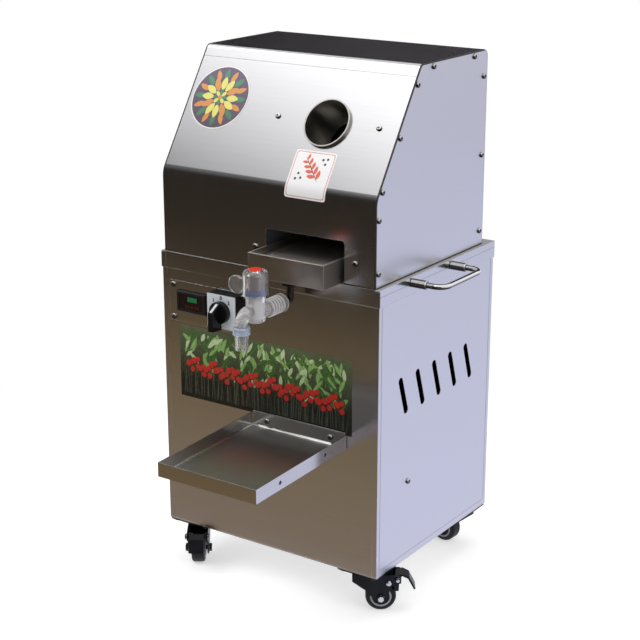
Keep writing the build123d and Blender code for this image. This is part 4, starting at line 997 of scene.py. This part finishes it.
for corner, yaw in casters.items():
    sign_x = 1 if corner.endswith("right") else -1
    sign_y = 1 if corner.startswith("rear") else -1
    swivel = Vector((sign_x * swivel_x, sign_y * swivel_y, 0))
    place = Matrix.Translation(swivel * mm) @ Matrix.Rotation(radians(yaw), 4, "Z")
    dress(caster_enamel, f"{corner}_fork")
    dress(tread, f"{corner}_wheel")
    rings, nuts, heads = [], [], []
    for side in (-1, 1):
        out = (0, side, 0)
        rings.append(
            lathe(
                [(14.1, -0.3), (14.3, 0.5), (14.9, 0.8), (16.6, 0.8), (17.2, 0.5), (17.4, -0.3)],
                (trail, side * wheel_half, wheel_radius), out, 48,
            )
        )
        washer = [(0, 0), (6.4, 0), (6.4, 0.7), (5.9, 1.0), (0, 1.0)]
        nuts.append(lathe(washer, (trail, side * cheek_face, wheel_radius), out))
        nuts.append(hexagon((trail, side * (cheek_face + 1.0), wheel_radius), out, 9.6, 4.0, 0.8))
        if corner.startswith("front"):
            for reach, height in ((pin_reach, pin_z), (rivet_reach, rivet_z)):
                heads.append(
                    lathe(
                        [(0, 3.5), (2.4, 3.3), (4.0, 2.4), (4.8, 1.0), (4.8, 0.0), (0, 0)],
                        (reach, side * cheek_face, height), out, 24,
                    )
                )
    for name, shapes, body, slot, finish in (
        (f"{corner}_wheel_rings", rings, f"{corner}_roll", "caster_tread", ring_grey),
        (f"{corner}_axle_nuts", nuts, f"{corner}_swivel", "screw_steel", zinc),
        (f"{corner}_rivets", heads, f"{corner}_swivel", "screw_steel", zinc),
    ):
        if shapes:
            whole = joined(shapes)
            bmesh.ops.transform(whole, matrix=place, verts=whole.verts[:])
            piece(name, whole, body, slot, finish)
    if corner.startswith("front"):
        dress(caster_enamel, f"{corner}_pedal")


# Studio: a white sweep, soft lamps overhead, and cards that only polished surfaces see.
# The cards are what the steel mirrors: a tan floor before it, a dark wall behind, a bright box above.
def emitting(name, stops, axis, start, end, strength=1.0):
    """Card material: a ramp of colours along one axis, in metres."""
    card = blank(name)
    place = add(card, "TexCoord").outputs["Object"]
    split = add(card, "SeparateXYZ", {"Vector": place})
    share = add(card, "MapRange", {"Value": split.outputs[axis], "From Min": start, "From Max": end})
    ramp = add(card, "ValToRGB", {"Fac": share.outputs["Result"]})
    ramp.color_ramp.elements[0].position = stops[0][0]
    ramp.color_ramp.elements[0].color = linear(stops[0][1])
    ramp.color_ramp.elements[1].position = stops[-1][0]
    ramp.color_ramp.elements[1].color = linear(stops[-1][1])
    for position, colour in stops[1:-1]:
        ramp.color_ramp.elements.new(position).color = linear(colour)
    glow = add(card, "Emission", {"Color": ramp.outputs["Color"], "Strength": strength})
    add(card, "OutputMaterial", {"Surface": glow.outputs[0]})
    return card


def card(name, middle, across, along, size, material, mirrored_only=True):
    """A flat sheet of the studio about its middle, in metres, with the directions of its two edges."""
    across, along = Vector(across).normalized(), Vector(along).normalized()
    x, y = size[0] / 2, size[1] / 2
    mesh = bpy.data.meshes.new(name)
    mesh.from_pydata([(-x, -y, 0), (x, -y, 0), (x, y, 0), (-x, y, 0)], [], [(0, 1, 2, 3)])
    mesh.materials.append(material)
    made = bpy.data.objects.new(name, mesh)
    facing = Matrix((across, along, across.cross(along))).transposed().to_4x4()
    made.matrix_world = Matrix.Translation(middle) @ facing
    bpy.context.scene.collection.objects.link(made)
    made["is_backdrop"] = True
    if mirrored_only:
        made.visible_camera = False
        made.visible_diffuse = False
        made.visible_shadow = False
        made.visible_volume_scatter = False


floor_white = blank("studio_floor_white")
seen = add(floor_white, "LightPath")
mirrored = add(
    floor_white,
    "Math",
    {0: seen.outputs["Is Glossy Ray"], 1: seen.outputs["Is Transmission Ray"]},
    operation="MAXIMUM",
)
place = add(floor_white, "TexCoord").outputs["Object"]
away = add(floor_white, "VectorMath", {0: place}, operation="LENGTH")
fade = add(
    floor_white,
    "MapRange",
    {"Value": away.outputs["Value"], "From Min": 0.45, "From Max": 1.1},
    interpolation_type="SMOOTHSTEP",
)
bare = add(
    floor_white,
    "Math",
    {0: fade.outputs["Result"], 1: seen.outputs["Is Camera Ray"]},
    operation="MULTIPLY",
)
plain = add(floor_white, "Math", {0: mirrored.outputs[0], 1: bare.outputs[0]}, operation="MAXIMUM")
lift = add(floor_white, "Math", {0: seen.outputs["Is Camera Ray"], 1: 0.45}, operation="MULTIPLY")
paper = add(floor_white, "BsdfDiffuse", {"Color": linear("#e7e7e7")})
bright = add(floor_white, "Emission", {"Color": linear("#ffffff"), "Strength": lift.outputs[0]})
shadowed = add(floor_white, "AddShader", {0: paper.outputs[0], 1: bright.outputs[0]})
white = add(floor_white, "Emission", {"Color": linear("#ffffff"), "Strength": 1.0})
sweep = add(floor_white, "MixShader", {0: plain.outputs[0], 1: shadowed.outputs[0], 2: white.outputs[0]})
add(floor_white, "OutputMaterial", {"Surface": sweep.outputs[0]})
east, north, up = (1, 0, 0), (0, 1, 0), (0, 0, 1)
card("studio_floor", (0, 0, 0), east, north, (80, 80), floor_white, False)

front_floor = emitting(
    "card_tan_floor",
    (
        (0.0, "#98887a"),
        (0.15, "#94836c"),
        (0.28, "#86745a"),
        (0.4, "#756448"),
        (0.5, "#615443"),
        (0.6, "#463e34"),
        (0.72, "#332d26"),
        (1.0, "#302a24"),
    ),
    "Y", 2.93, 0.53,
)
card("card_floor_in_front", (0, -3.13, 0.004), east, north, (12, 5.74), front_floor)
far_wall = emitting("card_far_wall", ((0.0, "#352d25"), (1.0, "#2a2520")), "Y", -1.7, 1.7)
card("card_wall_in_front", (-1, -6, 1.7), east, up, (16, 3.4), far_wall)
side_floor = emitting("card_cool_floor", ((0.0, "#dce0fb"), (1.0, "#c6c8dc")), "Y", -5.0, -0.6, 1.25)
card("card_floor_beside", (4.25, 4.4, 0.004), east, north, (8, 11), side_floor)
slant_view = Vector((-0.570, -0.484, 0.664)).normalized()
slant_right = Vector(up).cross(slant_view).normalized()
slant_above = slant_view.cross(slant_right)
slope = radians(19.3)
card_right = slant_right * cos(slope) + slant_above * sin(slope)
card_above = slant_above * cos(slope) - slant_right * sin(slope)
bright_box = emitting(
    "card_bright_box",
    ((0.0, "#151413"), (0.45, "#3e3e3e"), (0.5, "#6d6d6d"), (1.0, "#ffffff")),
    "Y", -1.5, 0.9, 3.5,
)
card("card_over_the_slant", Vector((-1.710, -1.572, 2.769)), card_right, card_above, (3.2, 3.0), bright_box)
dark_wall = emitting(
    "card_dark_wall",
    ((0.0, "#242124"), (0.54, "#242124"), (0.6, "#383539"), (1.0, "#4a464c")),
    "X", -3.5, 3.5,
)
card("card_behind", (-2.55, 2.7, 2.15), (6.9, 3.0, 0), up, (7.6, 2.5), dark_wall)

for name, place, aim, size, power in (
    ("key_softbox", (-1.7, -2.4, 3.2), (0, 0, 0.5), 2.4, 62.0),
    ("side_softbox", (3.2, -0.6, 2.4), (0, 0, 0.4), 2.0, 34.0),
    ("top_softbox", (0.2, 0.6, 3.6), (0, 0, 0.3), 2.4, 30.0),
):
    lamp = bpy.data.lights.new(name, "AREA")
    lamp.energy = power
    lamp.size = size
    lit = bpy.data.objects.new(name, lamp)
    lit.location = place
    lit.rotation_mode = "QUATERNION"
    lit.rotation_quaternion = (Vector(aim) - Vector(place)).to_track_quat("-Z", "Y")
    lit.visible_glossy = False
    lit.visible_camera = False
    bpy.context.scene.collection.objects.link(lit)

world = bpy.data.worlds.new("studio_world")
world.use_nodes = True
world.node_tree.nodes.clear()
seen = add(world, "LightPath")
shown = add(
    world, "Math", {0: seen.outputs["Is Camera Ray"], 1: seen.outputs["Is Glossy Ray"]}, operation="MAXIMUM"
)
shown = add(world, "Math", {0: shown.outputs[0], 1: seen.outputs["Is Transmission Ray"]}, operation="MAXIMUM")
level = add(world, "MapRange", {"Value": shown.outputs[0], "To Min": 0.55, "To Max": 1.0})
sky = add(world, "Background", {"Color": linear("#ffffff"), "Strength": level.outputs["Result"]})
add(world, "OutputWorld", {"Surface": sky.outputs[0]})
bpy.context.scene.world = world


# Camera: in front of the object and to its right, at the photograph's own angle and framing.
# Its long lens keeps the cabinet's upright edges nearly parallel.
camera = bpy.data.cameras.new("camera")
camera.sensor_width = 36.0
camera.lens = 88.33
eye = bpy.data.objects.new("camera", camera)
azimuth, elevation = radians(34.31), radians(17.61)
back = Vector((sin(azimuth) * cos(elevation), -cos(azimuth) * cos(elevation), sin(elevation)))
eye.location = (1.4040, -2.0864, 1.2192)
eye.rotation_mode = "QUATERNION"
eye.rotation_quaternion = (-back).to_track_quat("-Z", "Y")
bpy.context.scene.collection.objects.link(eye)
bpy.context.scene.camera = eye
bpy.context.scene.view_settings.view_transform = "Standard"

low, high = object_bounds()
